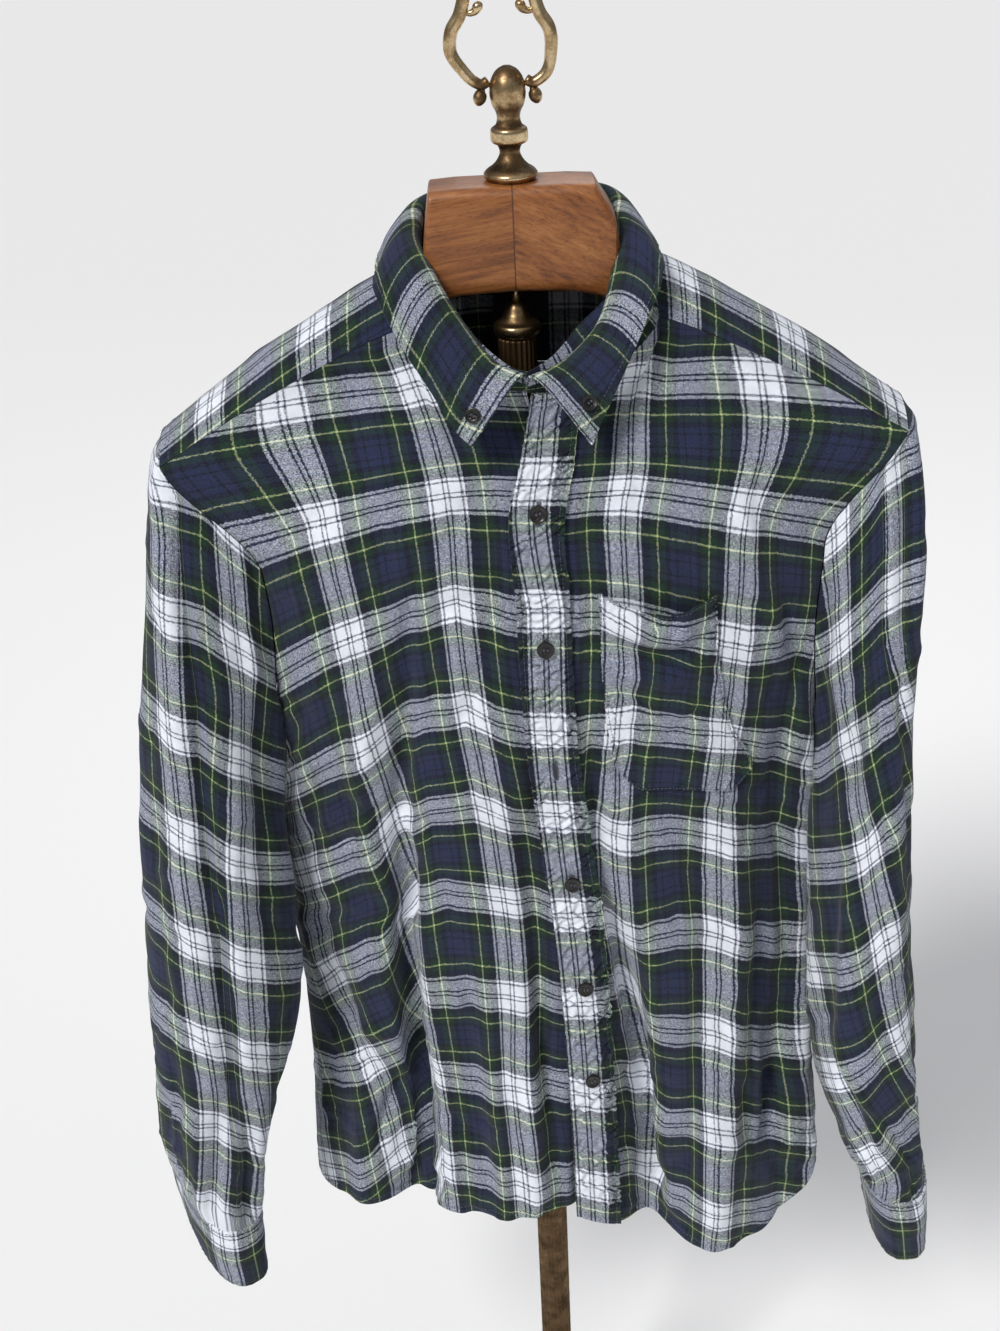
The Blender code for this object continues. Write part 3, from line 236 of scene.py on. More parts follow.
HANGER = (
    (0.000, 1.1000, 1.0350, 0.0225), (0.034, 1.1000, 1.0335, 0.0225), (0.0508, 1.0990, 1.0300, 0.0225),
    (0.0545, 1.0820, 1.0270, 0.0220), (0.0572, 1.0660, 1.0220, 0.0190), (0.0590, 1.0480, 1.0170, 0.0150),
    (0.0660, 1.0400, 1.0100, 0.0150), (0.090, 1.0400, 0.9980, 0.0165), (0.130, 1.0200, 0.9720, 0.0160),
    (0.180, 0.9888, 0.9460, 0.0150), (0.212, 0.9650, 0.9300, 0.0135), (0.224, 0.9530, 0.9280, 0.0115),
)
# height and radius, from the foot up
STEM = (
    (1.1003, 0.0150), (1.1035, 0.0166), (1.1060, 0.0148), (1.1085, 0.0112), (1.1120, 0.0080), (1.1165, 0.0062),
    (1.1205, 0.0075), (1.1225, 0.0108), (1.1270, 0.0114), (1.1300, 0.0110), (1.1325, 0.0080), (1.1360, 0.0070),
    (1.1400, 0.0076), (1.1435, 0.0094), (1.1480, 0.0107), (1.1540, 0.0108), (1.1600, 0.0091), (1.1640, 0.0062),
    (1.1662, 0.0025),
)
CAP = (
    (1.0022, 0.0118), (1.0040, 0.0140), (1.0075, 0.0150), (1.0105, 0.0142), (1.0125, 0.0105), (1.0170, 0.0082),
    (1.0220, 0.0062), (1.0265, 0.0034), (1.0300, 0.0030), (1.0347, 0.0034),
)
BASE = (
    (-0.1500, 0.1500), (-0.1380, 0.1500), (-0.1330, 0.1460), (-0.1240, 0.1220), (-0.1200, 0.0600),
    (-0.1120, 0.0320), (-0.0980, 0.0200), (-0.0900, 0.0160),
)
# half of the loop handle, from the ball outward, up and over to the middle
# half of the loop, out and up
HANDLE = (
    (0.0112, 1.1580), (0.0145, 1.1560), (0.0205, 1.1585), (0.0268, 1.1670), (0.0298, 1.1770), (0.0284, 1.1868),
    (0.0236, 1.1945), (0.0210, 1.2022), (0.0196, 1.2100), (0.0150, 1.2180), (0.0080, 1.2225), (0.0000, 1.2240),
)
HANDLE_SHIFT = -0.003     # the loop stands this far off the middle
# knobs and curls cast on either side of the handle: across, height, radius
KNOB = (
    (0.0138, 1.1560, 0.0015), (0.0148, 1.1530, 0.0017), (0.0155, 1.1515, 0.0032), (0.0163, 1.1492, 0.0040),
    (0.0171, 1.1470, 0.0038), (0.0178, 1.1450, 0.0025), (0.0182, 1.1440, 0.0010),
)
CURL = (
    (0.0215, 1.1985, 0.0016), (0.0180, 1.1962, 0.0018), (0.0145, 1.1970, 0.0024), (0.0127, 1.1990, 0.0030),
    (0.0117, 1.2010, 0.0026), (0.0113, 1.2025, 0.0010),
)

# ---- where the tartan's white stripes run on the fronts: down, then three stripes from the front edge
STRIPE_NAMES = "down first second third"
STRIPES_LEFT = (
    (0.040, 0.0600, 0.1410, 0.2150),
    (0.120, 0.0699, 0.1482, 0.2200),
    (0.205, 0.0698, 0.1430, 0.2180),
    (0.290, 0.0643, 0.1350, 0.2120),
    (0.370, 0.0512, 0.1243, 0.2060),
    (0.460, 0.0488, 0.1204, 0.2070),
    (0.540, 0.0570, 0.1218, 0.2101),
    (0.610, 0.0670, 0.1248, 0.2300),
    (0.690, 0.0700, 0.1305, 0.2330),
)
STRIPES_RIGHT = (
    (0.040, 0.0760, 0.1520, 0.2280),
    (0.120, 0.0605, 0.1410, 0.2180),
    (0.200, 0.0595, 0.1310, 0.2080),
    (0.275, 0.0565, 0.1245, 0.2020),
    (0.350, 0.0490, 0.1175, 0.1990),
    (0.430, 0.0471, 0.1190, 0.1970),
    (0.515, 0.0493, 0.1195, 0.1930),
    (0.600, 0.0560, 0.1170, 0.1720),
    (0.700, 0.0544, 0.1200, 0.1740),
)
# how far down each white band lies at places across a front; the first row is the places
BANDS_FRONT_RIGHT = (
    (0.000, 0.030, 0.060, 0.090, 0.120, 0.135, 0.150, 0.180, 0.210),
    (0.062, 0.0610, 0.0607, 0.0605, 0.0605, 0.0603, 0.0601, 0.0600, 0.060),
    (0.126, 0.1215, 0.1197, 0.1220, 0.1255, 0.1270, 0.1285, 0.1325, 0.137),
    (0.214, 0.2035, 0.1908, 0.1980, 0.2052, 0.2090, 0.2130, 0.2245, 0.236),
    (0.298, 0.2850, 0.2675, 0.2693, 0.2820, 0.2885, 0.2950, 0.3100, 0.325),
    (0.378, 0.3610, 0.3420, 0.3450, 0.3645, 0.3735, 0.3810, 0.3965, 0.414),
    (0.440, 0.4310, 0.4225, 0.4185, 0.4340, 0.4730, 0.4830, 0.5050, 0.530),
    (0.525, 0.5165, 0.5150, 0.5155, 0.5165, 0.5570, 0.5780, 0.5960, 0.609),
    (0.605, 0.6060, 0.6053, 0.6020, 0.5900, 0.6600, 0.6800, 0.6960, 0.710),
    (0.700, 0.7020, 0.7015, 0.6970, 0.6900, 0.7450, 0.7600, 0.7750, 0.790),
)
BANDS_FRONT_LEFT = (
    (0.000, 0.030, 0.050, 0.070, 0.090, 0.120, 0.150, 0.180, 0.210, 0.235),
    (0.061, 0.0610, 0.0612, 0.0615, 0.0613, 0.0605, 0.0597, 0.0600, 0.0600, 0.060),
    (0.127, 0.1250, 0.1236, 0.1214, 0.1230, 0.1270, 0.1310, 0.1353, 0.1390, 0.142),
    (0.202, 0.2035, 0.2044, 0.2068, 0.2122, 0.2208, 0.2255, 0.2212, 0.2170, 0.215),
    (0.296, 0.2940, 0.2905, 0.2858, 0.2878, 0.2912, 0.2970, 0.3043, 0.3100, 0.314),
    (0.358, 0.3610, 0.3698, 0.3675, 0.3657, 0.3712, 0.3780, 0.3850, 0.3900, 0.393),
    (0.440, 0.4500, 0.4650, 0.4560, 0.4510, 0.4560, 0.4640, 0.4670, 0.4595, 0.455),
    (0.500, 0.5025, 0.5060, 0.5310, 0.5360, 0.5370, 0.5460, 0.5540, 0.5407, 0.535),
    (0.586, 0.5880, 0.5920, 0.6050, 0.6150, 0.6120, 0.6150, 0.6170, 0.6180, 0.619),
    (0.665, 0.6680, 0.6720, 0.6850, 0.6880, 0.6870, 0.6880, 0.6900, 0.6900, 0.690),
    (0.745, 0.7480, 0.7520, 0.7650, 0.7680, 0.7670, 0.7680, 0.7700, 0.7700, 0.770),
)
# ---- creases and soft folds, each a ridge (+) or trough (-) laid along a line on the cloth ----------
CREASE_NAMES = "u0 v0 u1 v1 bow width height"
CREASES_RIGHT = (
    (0.080, 0.150, 0.098, 0.270, 0.004, 0.0065, -0.0040),
    (0.098, 0.250, 0.120, 0.440, 0.004, 0.0060, -0.0062),
    (0.121, 0.420, 0.133, 0.600, 0.003, 0.0055, -0.0080),
    (0.133, 0.570, 0.143, 0.760, 0.002, 0.0060, -0.0085),
    (0.122, 0.220, 0.142, 0.430, 0.003, 0.0100, 0.0040),
    (0.138, 0.400, 0.152, 0.730, 0.003, 0.0085, 0.0056),
    (0.104, 0.420, 0.112, 0.740, 0.003, 0.0080, 0.0040),
    (0.080, 0.480, 0.086, 0.740, 0.003, 0.0080, -0.0034),
    (0.026, 0.340, 0.030, 0.640, 0.003, 0.0070, -0.0050),
    (0.012, 0.300, 0.030, 0.700, 0.006, 0.0085, -0.0044),
    (0.028, 0.400, 0.042, 0.740, 0.004, 0.0085, 0.0040),
    (0.058, 0.520, 0.060, 0.750, 0.003, 0.0070, -0.0040),
    (0.046, 0.620, 0.048, 0.750, 0.002, 0.0055, 0.0026),
    (0.150, 0.610, 0.190, 0.690, 0.004, 0.0065, -0.0048),
    (0.136, 0.640, 0.172, 0.725, 0.003, 0.0075, 0.0036),
    (0.130, 0.480, 0.146, 0.740, 0.004, 0.0090, -0.0034),
    (0.160, 0.300, 0.190, 0.400, 0.006, 0.0080, -0.0034),
    (0.150, 0.330, 0.120, 0.250, 0.004, 0.0090, 0.0024),
    (0.170, 0.250, 0.200, 0.330, 0.004, 0.0065, -0.0030),
    (0.190, 0.430, 0.175, 0.620, 0.004, 0.0085, -0.0034),
    (0.160, 0.430, 0.158, 0.600, 0.004, 0.0090, 0.0026),
    (0.050, 0.100, 0.110, 0.230, 0.010, 0.0140, 0.0022),
    (0.040, 0.250, 0.020, 0.380, 0.004, 0.0080, 0.0024),
    (0.030, 0.140, 0.060, 0.280, -0.006, 0.0090, -0.0024),
    (0.070, 0.180, 0.090, 0.300, -0.004, 0.0075, -0.0022),
    (0.015, 0.600, 0.020, 0.740, 0.002, 0.0060, 0.0030),
    (0.110, 0.700, 0.180, 0.712, 0.004, 0.0080, 0.0024),
    (0.020, 0.180, 0.070, 0.200, 0.003, 0.0060, -0.0014),
    (0.100, 0.350, 0.160, 0.370, 0.004, 0.0070, -0.0018),
    (0.110, 0.540, 0.170, 0.560, -0.004, 0.0080, 0.0018),
)
CREASES_LEFT = (
    (0.044, 0.280, 0.036, 0.430, 0.000, 0.0060, -0.0050),
    (0.036, 0.410, 0.052, 0.530, 0.002, 0.0055, -0.0080),
    (0.051, 0.505, 0.078, 0.700, 0.002, 0.0055, -0.0095),
    (0.060, 0.330, 0.062, 0.470, 0.002, 0.0110, 0.0044),
    (0.064, 0.440, 0.092, 0.700, 0.002, 0.0100, 0.0062),
    (0.046, 0.300, 0.062, 0.330, 0.002, 0.0045, -0.0034),
    (0.044, 0.335, 0.062, 0.352, -0.002, 0.0045, 0.0028),
    (0.046, 0.372, 0.064, 0.380, 0.002, 0.0045, -0.0024),
    (0.100, 0.360, 0.104, 0.690, 0.006, 0.0100, -0.0040),
    (0.132, 0.340, 0.136, 0.700, 0.004, 0.0120, 0.0046),
    (0.178, 0.320, 0.182, 0.640, 0.004, 0.0095, -0.0058),
    (0.160, 0.420, 0.158, 0.640, -0.004, 0.0080, -0.0022),
    (0.205, 0.280, 0.206, 0.580, 0.003, 0.0080, 0.0032),
    (0.060, 0.120, 0.120, 0.175, 0.006, 0.0100, -0.0018),
    (0.160, 0.120, 0.185, 0.270, 0.008, 0.0100, -0.0034),
    (0.150, 0.170, 0.205, 0.310, 0.006, 0.0085, 0.0030),
    (0.195, 0.220, 0.175, 0.330, 0.004, 0.0075, -0.0034),
    (0.210, 0.170, 0.190, 0.260, 0.004, 0.0060, -0.0026),
    (0.070, 0.620, 0.180, 0.640, 0.010, 0.0110, 0.0020),
    (0.080, 0.450, 0.160, 0.470, 0.008, 0.0100, 0.0016),
    (0.050, 0.100, 0.045, 0.260, 0.003, 0.0080, -0.0022),
    (0.075, 0.700, 0.110, 0.640, 0.004, 0.0070, -0.0028),
    (0.140, 0.560, 0.180, 0.690, 0.004, 0.0080, -0.0022),
)
CREASES_BACK = (
    (-0.030, 0.150, -0.036, 0.700, 0.006, 0.0160, 0.0040),
    (0.022, 0.150, 0.030, 0.720, -0.006, 0.0150, 0.0036),
    (-0.004, 0.170, -0.002, 0.560, 0.004, 0.0120, -0.0030),
    (-0.090, 0.240, -0.070, 0.700, 0.010, 0.0150, -0.0036),
    (-0.120, 0.420, -0.110, 0.720, 0.006, 0.0130, 0.0030),
    (0.085, 0.260, 0.075, 0.700, -0.010, 0.0150, -0.0034),
    (0.120, 0.400, 0.112, 0.700, -0.006, 0.0130, 0.0028),
    (0.155, 0.300, 0.140, 0.500, 0.004, 0.0100, -0.0026),
    (-0.155, 0.280, -0.145, 0.540, 0.004, 0.0110, -0.0024),
    (-0.170, 0.200, -0.090, 0.330, 0.010, 0.0110, 0.0018),
    (0.170, 0.210, 0.090, 0.340, -0.010, 0.0110, 0.0018),
)
# on a sleeve u runs level from its front towards the outside, v is the depth below the shoulder line
CREASES_SLEEVE_RIGHT = (
    (0.0190, 0.130, 0.0000, 0.250, 0.002, 0.0050, -0.0048),
    (0.0000, 0.240, -0.0150, 0.400, 0.003, 0.0050, -0.0052),
    (-0.0150, 0.390, -0.0175, 0.600, 0.002, 0.0055, -0.0054),
    (0.0270, 0.140, 0.0110, 0.330, 0.000, 0.0080, 0.0030),
    (0.0040, 0.340, -0.0030, 0.560, 0.002, 0.0090, 0.0034),
    (-0.0260, 0.300, -0.0290, 0.560, 0.002, 0.0080, 0.0026),
    (-0.0520, 0.260, -0.0560, 0.480, 0.004, 0.0090, -0.0034),
    (-0.0420, 0.170, -0.0600, 0.250, 0.004, 0.0060, -0.0034),
    (-0.0300, 0.160, -0.0500, 0.260, 0.004, 0.0070, 0.0026),
    (0.0300, 0.330, 0.0260, 0.520, 0.006, 0.0100, -0.0028),
    (0.0480, 0.200, 0.0460, 0.420, 0.006, 0.0110, 0.0028),
    (0.0300, 0.520, 0.0180, 0.640, 0.002, 0.0060, -0.0044),
    (0.0100, 0.560, 0.0050, 0.670, 0.001, 0.0050, 0.0036),
    (0.0220, 0.580, 0.0160, 0.670, 0.001, 0.0050, 0.0034),
    (-0.0060, 0.570, -0.0080, 0.680, 0.001, 0.0048, -0.0040),
    (-0.0380, 0.560, -0.0460, 0.690, 0.002, 0.0060, 0.0034),
    (-0.0300, 0.600, -0.0340, 0.690, 0.001, 0.0050, -0.0036),
    (0.0400, 0.570, 0.0340, 0.680, 0.001, 0.0055, -0.0034),
    (0.0560, 0.560, 0.0520, 0.670, 0.001, 0.0060, 0.0030),
    (0.0700, 0.500, 0.0680, 0.660, 0.001, 0.0065, -0.0030),
    (0.1000, 0.180, 0.0940, 0.560, 0.008, 0.0130, -0.0034),
    (0.1250, 0.240, 0.1250, 0.640, -0.006, 0.0130, 0.0034),
    (0.1550, 0.300, 0.1500, 0.600, 0.006, 0.0130, -0.0030),
    (-0.0800, 0.300, -0.0760, 0.600, 0.006, 0.0120, 0.0030),
)
CREASES_SLEEVE_LEFT = (
    (0.0130, 0.110, 0.0125, 0.290, 0.000, 0.0040, -0.0046),
    (0.0125, 0.270, 0.0300, 0.420, 0.003, 0.0060, -0.0034),
    (0.0030, 0.120, 0.0010, 0.300, 0.000, 0.0060, 0.0020),
    (0.0240, 0.120, 0.0260, 0.300, 0.002, 0.0070, 0.0026),
    (-0.0540, 0.175, -0.0480, 0.260, 0.003, 0.0050, -0.0040),
    (-0.0440, 0.180, -0.0400, 0.330, 0.002, 0.0080, 0.0028),
    (-0.0660, 0.230, -0.0580, 0.330, 0.004, 0.0060, -0.0038),
    (-0.0300, 0.300, -0.0080, 0.460, 0.004, 0.0090, -0.0028),
    (-0.0100, 0.300, 0.0120, 0.460, 0.004, 0.0100, 0.0030),
    (-0.0420, 0.400, -0.0500, 0.560, 0.004, 0.0080, -0.0042),
    (-0.0300, 0.420, -0.0340, 0.600, 0.004, 0.0090, 0.0034),
    (-0.0100, 0.480, 0.0060, 0.600, 0.002, 0.0090, -0.0030),
    (-0.0440, 0.560, -0.0160, 0.650, 0.006, 0.0060, -0.0050),
    (-0.0300, 0.560, -0.0040, 0.650, 0.006, 0.0060, 0.0040),
    (-0.0160, 0.600, 0.0160, 0.655, 0.004, 0.0055, -0.0036),
    (0.0240, 0.560, 0.0300, 0.670, 0.001, 0.0060, 0.0034),
    (0.0380, 0.540, 0.0420, 0.670, 0.001, 0.0060, -0.0036),
    (0.0580, 0.520, 0.0600, 0.670, 0.001, 0.0065, 0.0032),
    (0.1000, 0.180, 0.0940, 0.560, 0.008, 0.0130, -0.0034),
    (0.1250, 0.240, 0.1250, 0.640, -0.006, 0.0130, 0.0034),
    (0.1550, 0.300, 0.1500, 0.600, 0.006, 0.0130, -0.0030),
    (-0.0800, 0.300, -0.0760, 0.600, 0.006, 0.0120, 0.0030),
)
CREASES_YOKE = (
    (-0.150, -0.010, -0.200, 0.030, 0.004, 0.0120, 0.0010),
    (0.140, -0.010, 0.200, 0.026, 0.004, 0.0120, 0.0010),
    (-0.100, 0.050, 0.100, 0.056, 0.006, 0.0140, 0.0012),
    (0.060, 0.080, 0.200, 0.050, 0.006, 0.0140, -0.0010),
)


# ---- reading the tables -----------------------------------------------------------------------------
def named(names, row):
    return dict(zip(names.split(), row))


def read(rows, names, at):
    """Smooth value of every named column at the places asked for."""
    data = np.array(rows, float)
    key = data[:, 0]
    slope = np.gradient(data, key, axis=0)
    at = np.clip(np.asarray(at, float), key[0], key[-1])
    i = np.clip(np.searchsorted(key, at, side="right") - 1, 0, len(key) - 2)
    gap = (key[i + 1] - key[i])[..., None]
    t = (at - key[i])[..., None] / gap
    value = (2 * t**3 - 3 * t**2 + 1) * data[i] + (t**3 - 2 * t**2 + t) * gap * slope[i]
    value = value + (3 * t**2 - 2 * t**3) * data[i + 1] + (t**3 - t**2) * gap * slope[i + 1]
    return {name: value[..., k] for k, name in enumerate(names.split())}


def ease(value, start, end):
    t = np.clip((value - start) / (end - start), 0, 1)
    return t * t * (3 - 2 * t)


def points(x, y, z):
    return np.stack(np.broadcast_arrays(x, y, z), axis=-1).astype(float)


def unit(v):
    return v / np.maximum(np.linalg.norm(v, axis=-1, keepdims=True), 1e-9)


# ---- the drape of the body ---------------------------------------------------------------------------
def armhole_reach(down, most):
    part = np.clip(1 - ((down - ARM_WIDEST) / (ARM_BOTTOM - ARM_WIDEST)) ** 2, 0, 1)
    return np.where(down < ARM_BOTTOM, most * np.sqrt(part), 0.0)


def quarter(a, start, end, flat, turn):
    width = end[0] - start[0]
    depth = end[1] - start[1]
    w0 = (1 - a) ** 3
    w1 = 3 * (1 - a) ** 2 * a
    w2 = 3 * (1 - a) * a**2
    w3 = a**3
    x = w0 * start[0] + w1 * (start[0] + flat * width) + (w2 + w3) * end[0]
    y = w0 * start[1] + w1 * start[1] + w2 * (end[1] - turn * depth) + w3 * end[1]
    return x, y


def fold_height(folds, across, down):
    total = np.zeros(np.broadcast(across, down).shape)
    for row in folds:
        f = named(FOLD_NAMES, row)
        t = ease(down, f["from_down"], f["to_down"])
        s = np.clip((down - f["from_down"]) / (f["to_down"] - f["from_down"]), 0, 1)
        middle = f["across_top"] + (f["across_low"] - f["across_top"]) * s
        height = f["out_top"] + (f["out_low"] - f["out_top"]) * t
        height = height * ease(down, f["from_down"] - 0.10, f["from_down"])
        height = height * (1 - ease(down, f["to_down"], f["to_down"] + 0.02))
        total = total + height * np.exp(-(((across - middle) / f["width"]) ** 2))
    return total * (1 - ease(across, 0.93, 1.0))


def side_rows(side):
    return PANEL_LEFT if side > 0 else PANEL_RIGHT


def front_plan(side, a, down):
    c = read(CENTRE, CENTRE_NAMES, down)
    p = read(side_rows(side), PANEL_NAMES, down)
    start_x = c["x_over"] if side > 0 else c["x_under"]
    tuck = 0.012 * ease(down, 0.30, 0.70) * (1 - ease(a, 0.0, 0.10))
    start_y = c["y"] + (0.0 if side > 0 else UNDER + tuck)
    return quarter(a, (start_x, start_y), (p["x_out"], p["y_out"]), p["flat"], p["turn"]), p


def panel_point(side, a, down):
    (x, y), p = front_plan(side, a, down)
    z = TOP - down + (4 * p["mid_drop"] - p["out_drop"]) * a + (2 * p["out_drop"] - 4 * p["mid_drop"]) * a**2
    step = 1e-3
    (x2, y2), _ = front_plan(side, a + step, down)
    (x1, y1), _ = front_plan(side, a - step, down)
    along = unit(points(x2 - x1, y2 - y1, 0.0))
    fold = fold_height(FOLDS_LEFT if side > 0 else FOLDS_RIGHT, a, down)
    return points(x + side * along[..., 1] * fold, y - side * along[..., 0] * fold, z)


def back_plan(side, out, down):
    b = read(BACK, BACK_NAMES, down)
    p = read(side_rows(side), PANEL_NAMES, down)
    middle = MIDDLE + 0.012 * (down - 0.1)
    return quarter(out, (middle, b["y_mid"]), (p["x_out"], p["y_out"] + SEAM), p["flat"], p["turn"]), p


def back_half_point(side, out, down):
    (x, y), p = back_plan(side, out, down)
    return points(x, y, TOP - down + p["out_drop"] * out**2)


def cloth_table(point, plan, reach, first, last, rows=90, steps=160):
    """How far the cloth has run at each place across a half, row by row, up to its cut edge."""
    downs = np.linspace(first, last, rows)
    ladder = np.linspace(0, 1, steps)
    run = np.zeros((rows, steps))
    edge = np.ones(rows)
    for k, down in enumerate(downs):
        far = np.full(steps, down)
        line = point(ladder, far)[:, :2]
        run[k, 1:] = np.cumsum(np.linalg.norm(np.diff(line, axis=0), axis=1))
        half = armhole_reach(down, reach)
        if half > 0:
            (_, y), p = plan(ladder, far)
            inside = np.abs(y - p["y_out"]) - half
            upper = steps // 2
            edge[k] = np.interp(0.0, -inside[upper:], ladder[upper:])
    return downs, ladder, run, edge


def across_at(table, share, down, band=0.0):
    """Place across a half for a share of its cloth, and how far the cloth has run there."""
    downs, ladder, run, edge = table
    share, down = np.broadcast_arrays(np.asarray(share, float), np.asarray(down, float))
    shape = share.shape
    share = share.ravel()
    k = np.clip((down.ravel() - downs[0]) / (downs[1] - downs[0]), 0, len(downs) - 1.001)
    low = k.astype(int)
    t = k - low
    line = (1 - t)[:, None] * run[low] + t[:, None] * run[low + 1]
    limit = ((1 - t) * edge[low] + t * edge[low + 1]) * (len(ladder) - 1)
    each = np.arange(len(share))
    m = np.clip(limit.astype(int), 0, len(ladder) - 2)
    total = line[each, m] + (limit - m) * (line[each, m + 1] - line[each, m])
    want = total * share
    if band > 0:
        want = np.where(share <= 0.10, share / 0.10 * band, band + (total - band) * (share - 0.10) / 0.90)
    m = np.clip((line < want[:, None]).sum(axis=1) - 1, 0, len(ladder) - 2)
    gap = np.maximum(line[each, m + 1] - line[each, m], 1e-9)
    place = (m + np.clip((want - line[each, m]) / gap, 0, 1)) / (len(ladder) - 1)
    return place.reshape(shape), want.reshape(shape)


FRONT_TABLES = {}
BACK_TABLES = {}
for half in (-1, 1):
    FRONT_TABLES[half] = cloth_table(
        lambda a, d: panel_point(half, a, d), lambda a, d: front_plan(half, a, d), ARM_FRONT, 0.03, 0.80)
    BACK_TABLES[half] = cloth_table(
        lambda a, d: back_half_point(half, a, d), lambda a, d: back_plan(half, a, d), ARM_BACK, 0.05, 0.82)


def front_point(side, share, down):
    place, run = across_at(FRONT_TABLES[side], share, down, BAND)
    return panel_point(side, place, down), run


def back_point(a, down):
    a, down = np.broadcast_arrays(np.asarray(a, float), np.asarray(down, float))
    place, run = across_at(BACK_TABLES[-1], np.abs(a), down)
    right = back_half_point(-1, place, down)
    place, run2 = across_at(BACK_TABLES[1], np.abs(a), down)
    left = back_half_point(1, place, down)
    return np.where((a < 0)[..., None], right, left), np.where(a < 0, -run, run2)


# ---- the yoke and the neck ---------------------------------------------------------------------------
def yoke_point(out, across):
    ridge = read(RIDGE, RIDGE_NAMES, np.abs(out))["z"]
    radius = np.where(across < 0, YOKE_FRONT, YOKE_BACK)
    turn = np.clip(np.abs(across) / radius, 0, math.pi / 2)
    rest = np.abs(across) - turn * radius
    y = np.sign(across) * radius * np.sin(turn) - 0.012 * (out / 0.24) ** 2
    return points(MIDDLE + out, y, ridge - radius * (1 - np.cos(turn)) - rest)


def neck_along(a):
    return 1.0 - 0.6 * np.clip(np.asarray(a) / NECK_SHARE, 0, 1) ** 1.25


def front_seam(side, t):
    out = NECK_CORNER + (SHOULDER - NECK_CORNER) * t
    return side * out, -0.051 + 0.018 * t


def back_seam(t):
    return SHOULDER * t, 0.115 - 0.040 * t**2


def neck_flat(t):
    n = read(NECK, NECK_NAMES, np.abs(t))
    return np.sign(t) * n["out"], n["across"]


def neck_point(along):
    along = np.asarray(along, float)
    out, across = neck_flat(np.clip(along / 0.4, -1, 1))
    behind = yoke_point(out, across)
    side = np.where(along < 0, -1.0, 1.0)
    t = np.clip((np.abs(along) - 0.4) / 0.6, 0, 1)
    corner = yoke_point(side * NECK_CORNER, -0.051 + 0 * along)
    edge_x = np.where(side > 0, CENTRE[0][1] + 0.0012, CENTRE[0][2] - 0.0012)
    bend = np.sin(t * math.pi / 2)
    x = corner[..., 0] + (edge_x - corner[..., 0]) * (1 - np.cos(t * math.pi / 2)) ** 0.75
    y = corner[..., 1] + (np.where(side > 0, -0.0750, -0.0750 + UNDER) - corner[..., 1]) * bend
    z = corner[..., 2] + (0.990 - corner[..., 2]) * bend
    return np.where((np.abs(along) > 0.4)[..., None], points(x, y, z), behind)


def outward_of(line):
    flat = line - np.array([0.004, -0.015, 0.0])
    return unit(flat * np.array([1.0, 1.0, 0.0]))


def ring(side, row, angle):
    """One section of a sleeve; angle 0 is the front fold, a quarter turn on is the outside."""
    s = named(SLEEVE_NAMES, row)
    turn = math.radians(1.0) * s["turn"]
    long_way = np.cos(angle) * s["deep"]
    swell = 1 - s["taper"] + s["taper"] * np.cos(angle)
    short_way = np.sign(np.sin(angle)) * np.abs(np.sin(angle)) ** BLUNT * s["thick"] * swell
    x = s["x"] - side * np.sin(turn) * long_way + side * np.cos(turn) * short_way
    y = s["y"] - np.cos(turn) * long_way - np.sin(turn) * short_way
    return points(x, y, s["z"] + s["lift"] * np.sin(angle))


def through(keys, parts):
    """Smooth rings through the key rings, parts of each gap in turn."""
    slope = np.zeros_like(keys)
    slope[1:-1] = (keys[2:] - keys[:-2]) / 2
    slope[0] = keys[1] - keys[0]
    slope[-1] = keys[-1] - keys[-2]
    rings = []
    for k in range(len(keys) - 1):
        for m in range(parts[k]):
            t = m / parts[k]
            value = (2 * t**3 - 3 * t**2 + 1) * keys[k] + (t**3 - 2 * t**2 + t) * slope[k]
            rings.append(value + (3 * t**2 - 2 * t**3) * keys[k + 1] + (t**3 - t**2) * slope[k + 1])
    rings.append(keys[-1])
    return np.array(rings)


# ---- relief: listed creases, small wrinkles, puckers --------------------------------------------------
def crease(rows, u, v):
    total = np.zeros(np.broadcast(u, v).shape)
    for row in rows:
        c = named(CREASE_NAMES, row)
        du = c["u1"] - c["u0"]
        dv = c["v1"] - c["v0"]
        length = math.hypot(du, dv)
        s = ((u - c["u0"]) * du + (v - c["v0"]) * dv) / length**2
        off = ((u - c["u0"]) * dv - (v - c["v0"]) * du) / length - c["bow"] * 4 * s * (1 - s)
        fade = ease(s, -0.12, 0.22) * (1 - ease(s, 0.78, 1.12))
        total = total + c["height"] * np.exp(-((off / c["width"]) ** 2)) * fade
    return total


def wrinkles(u, v, seed, count, height=0.0006, slant=0.5):
    """Small soft creases strewn over a cloth, uneven in length and depth."""
    rng = np.random.default_rng(seed)
    low_u, high_u, low_v, high_v = u.min(), u.max(), v.min(), v.max()
    rows = []
    for _ in range(count):
        cu = rng.uniform(low_u, high_u)
        cv = rng.uniform(low_v, high_v)
        turn = rng.normal(0.0, slant) + (math.pi / 2 if rng.random() < 0.45 else 0.0)
        reach = rng.uniform(0.010, 0.045)
        h = height * rng.uniform(0.3, 1.0) * (1 if rng.random() < 0.5 else -1)
        rows.append((cu - math.cos(turn) * reach, cv - math.sin(turn) * reach,
                     cu + math.cos(turn) * reach, cv + math.sin(turn) * reach,
                     rng.uniform(-0.003, 0.003), rng.uniform(0.0028, 0.0075), h))
    return crease(rows, u, v)


def noise_line(t, seed, scale):
    """A smooth wander along one direction, about -1 to 1."""
    rng = np.random.default_rng(seed)
    total = np.zeros_like(t)
    for k in range(5):
        total = total + np.sin(t / scale * (0.6 + 0.55 * k) * 2 * math.pi + rng.uniform(0, 7)) / (1 + k)
    return total / 1.8


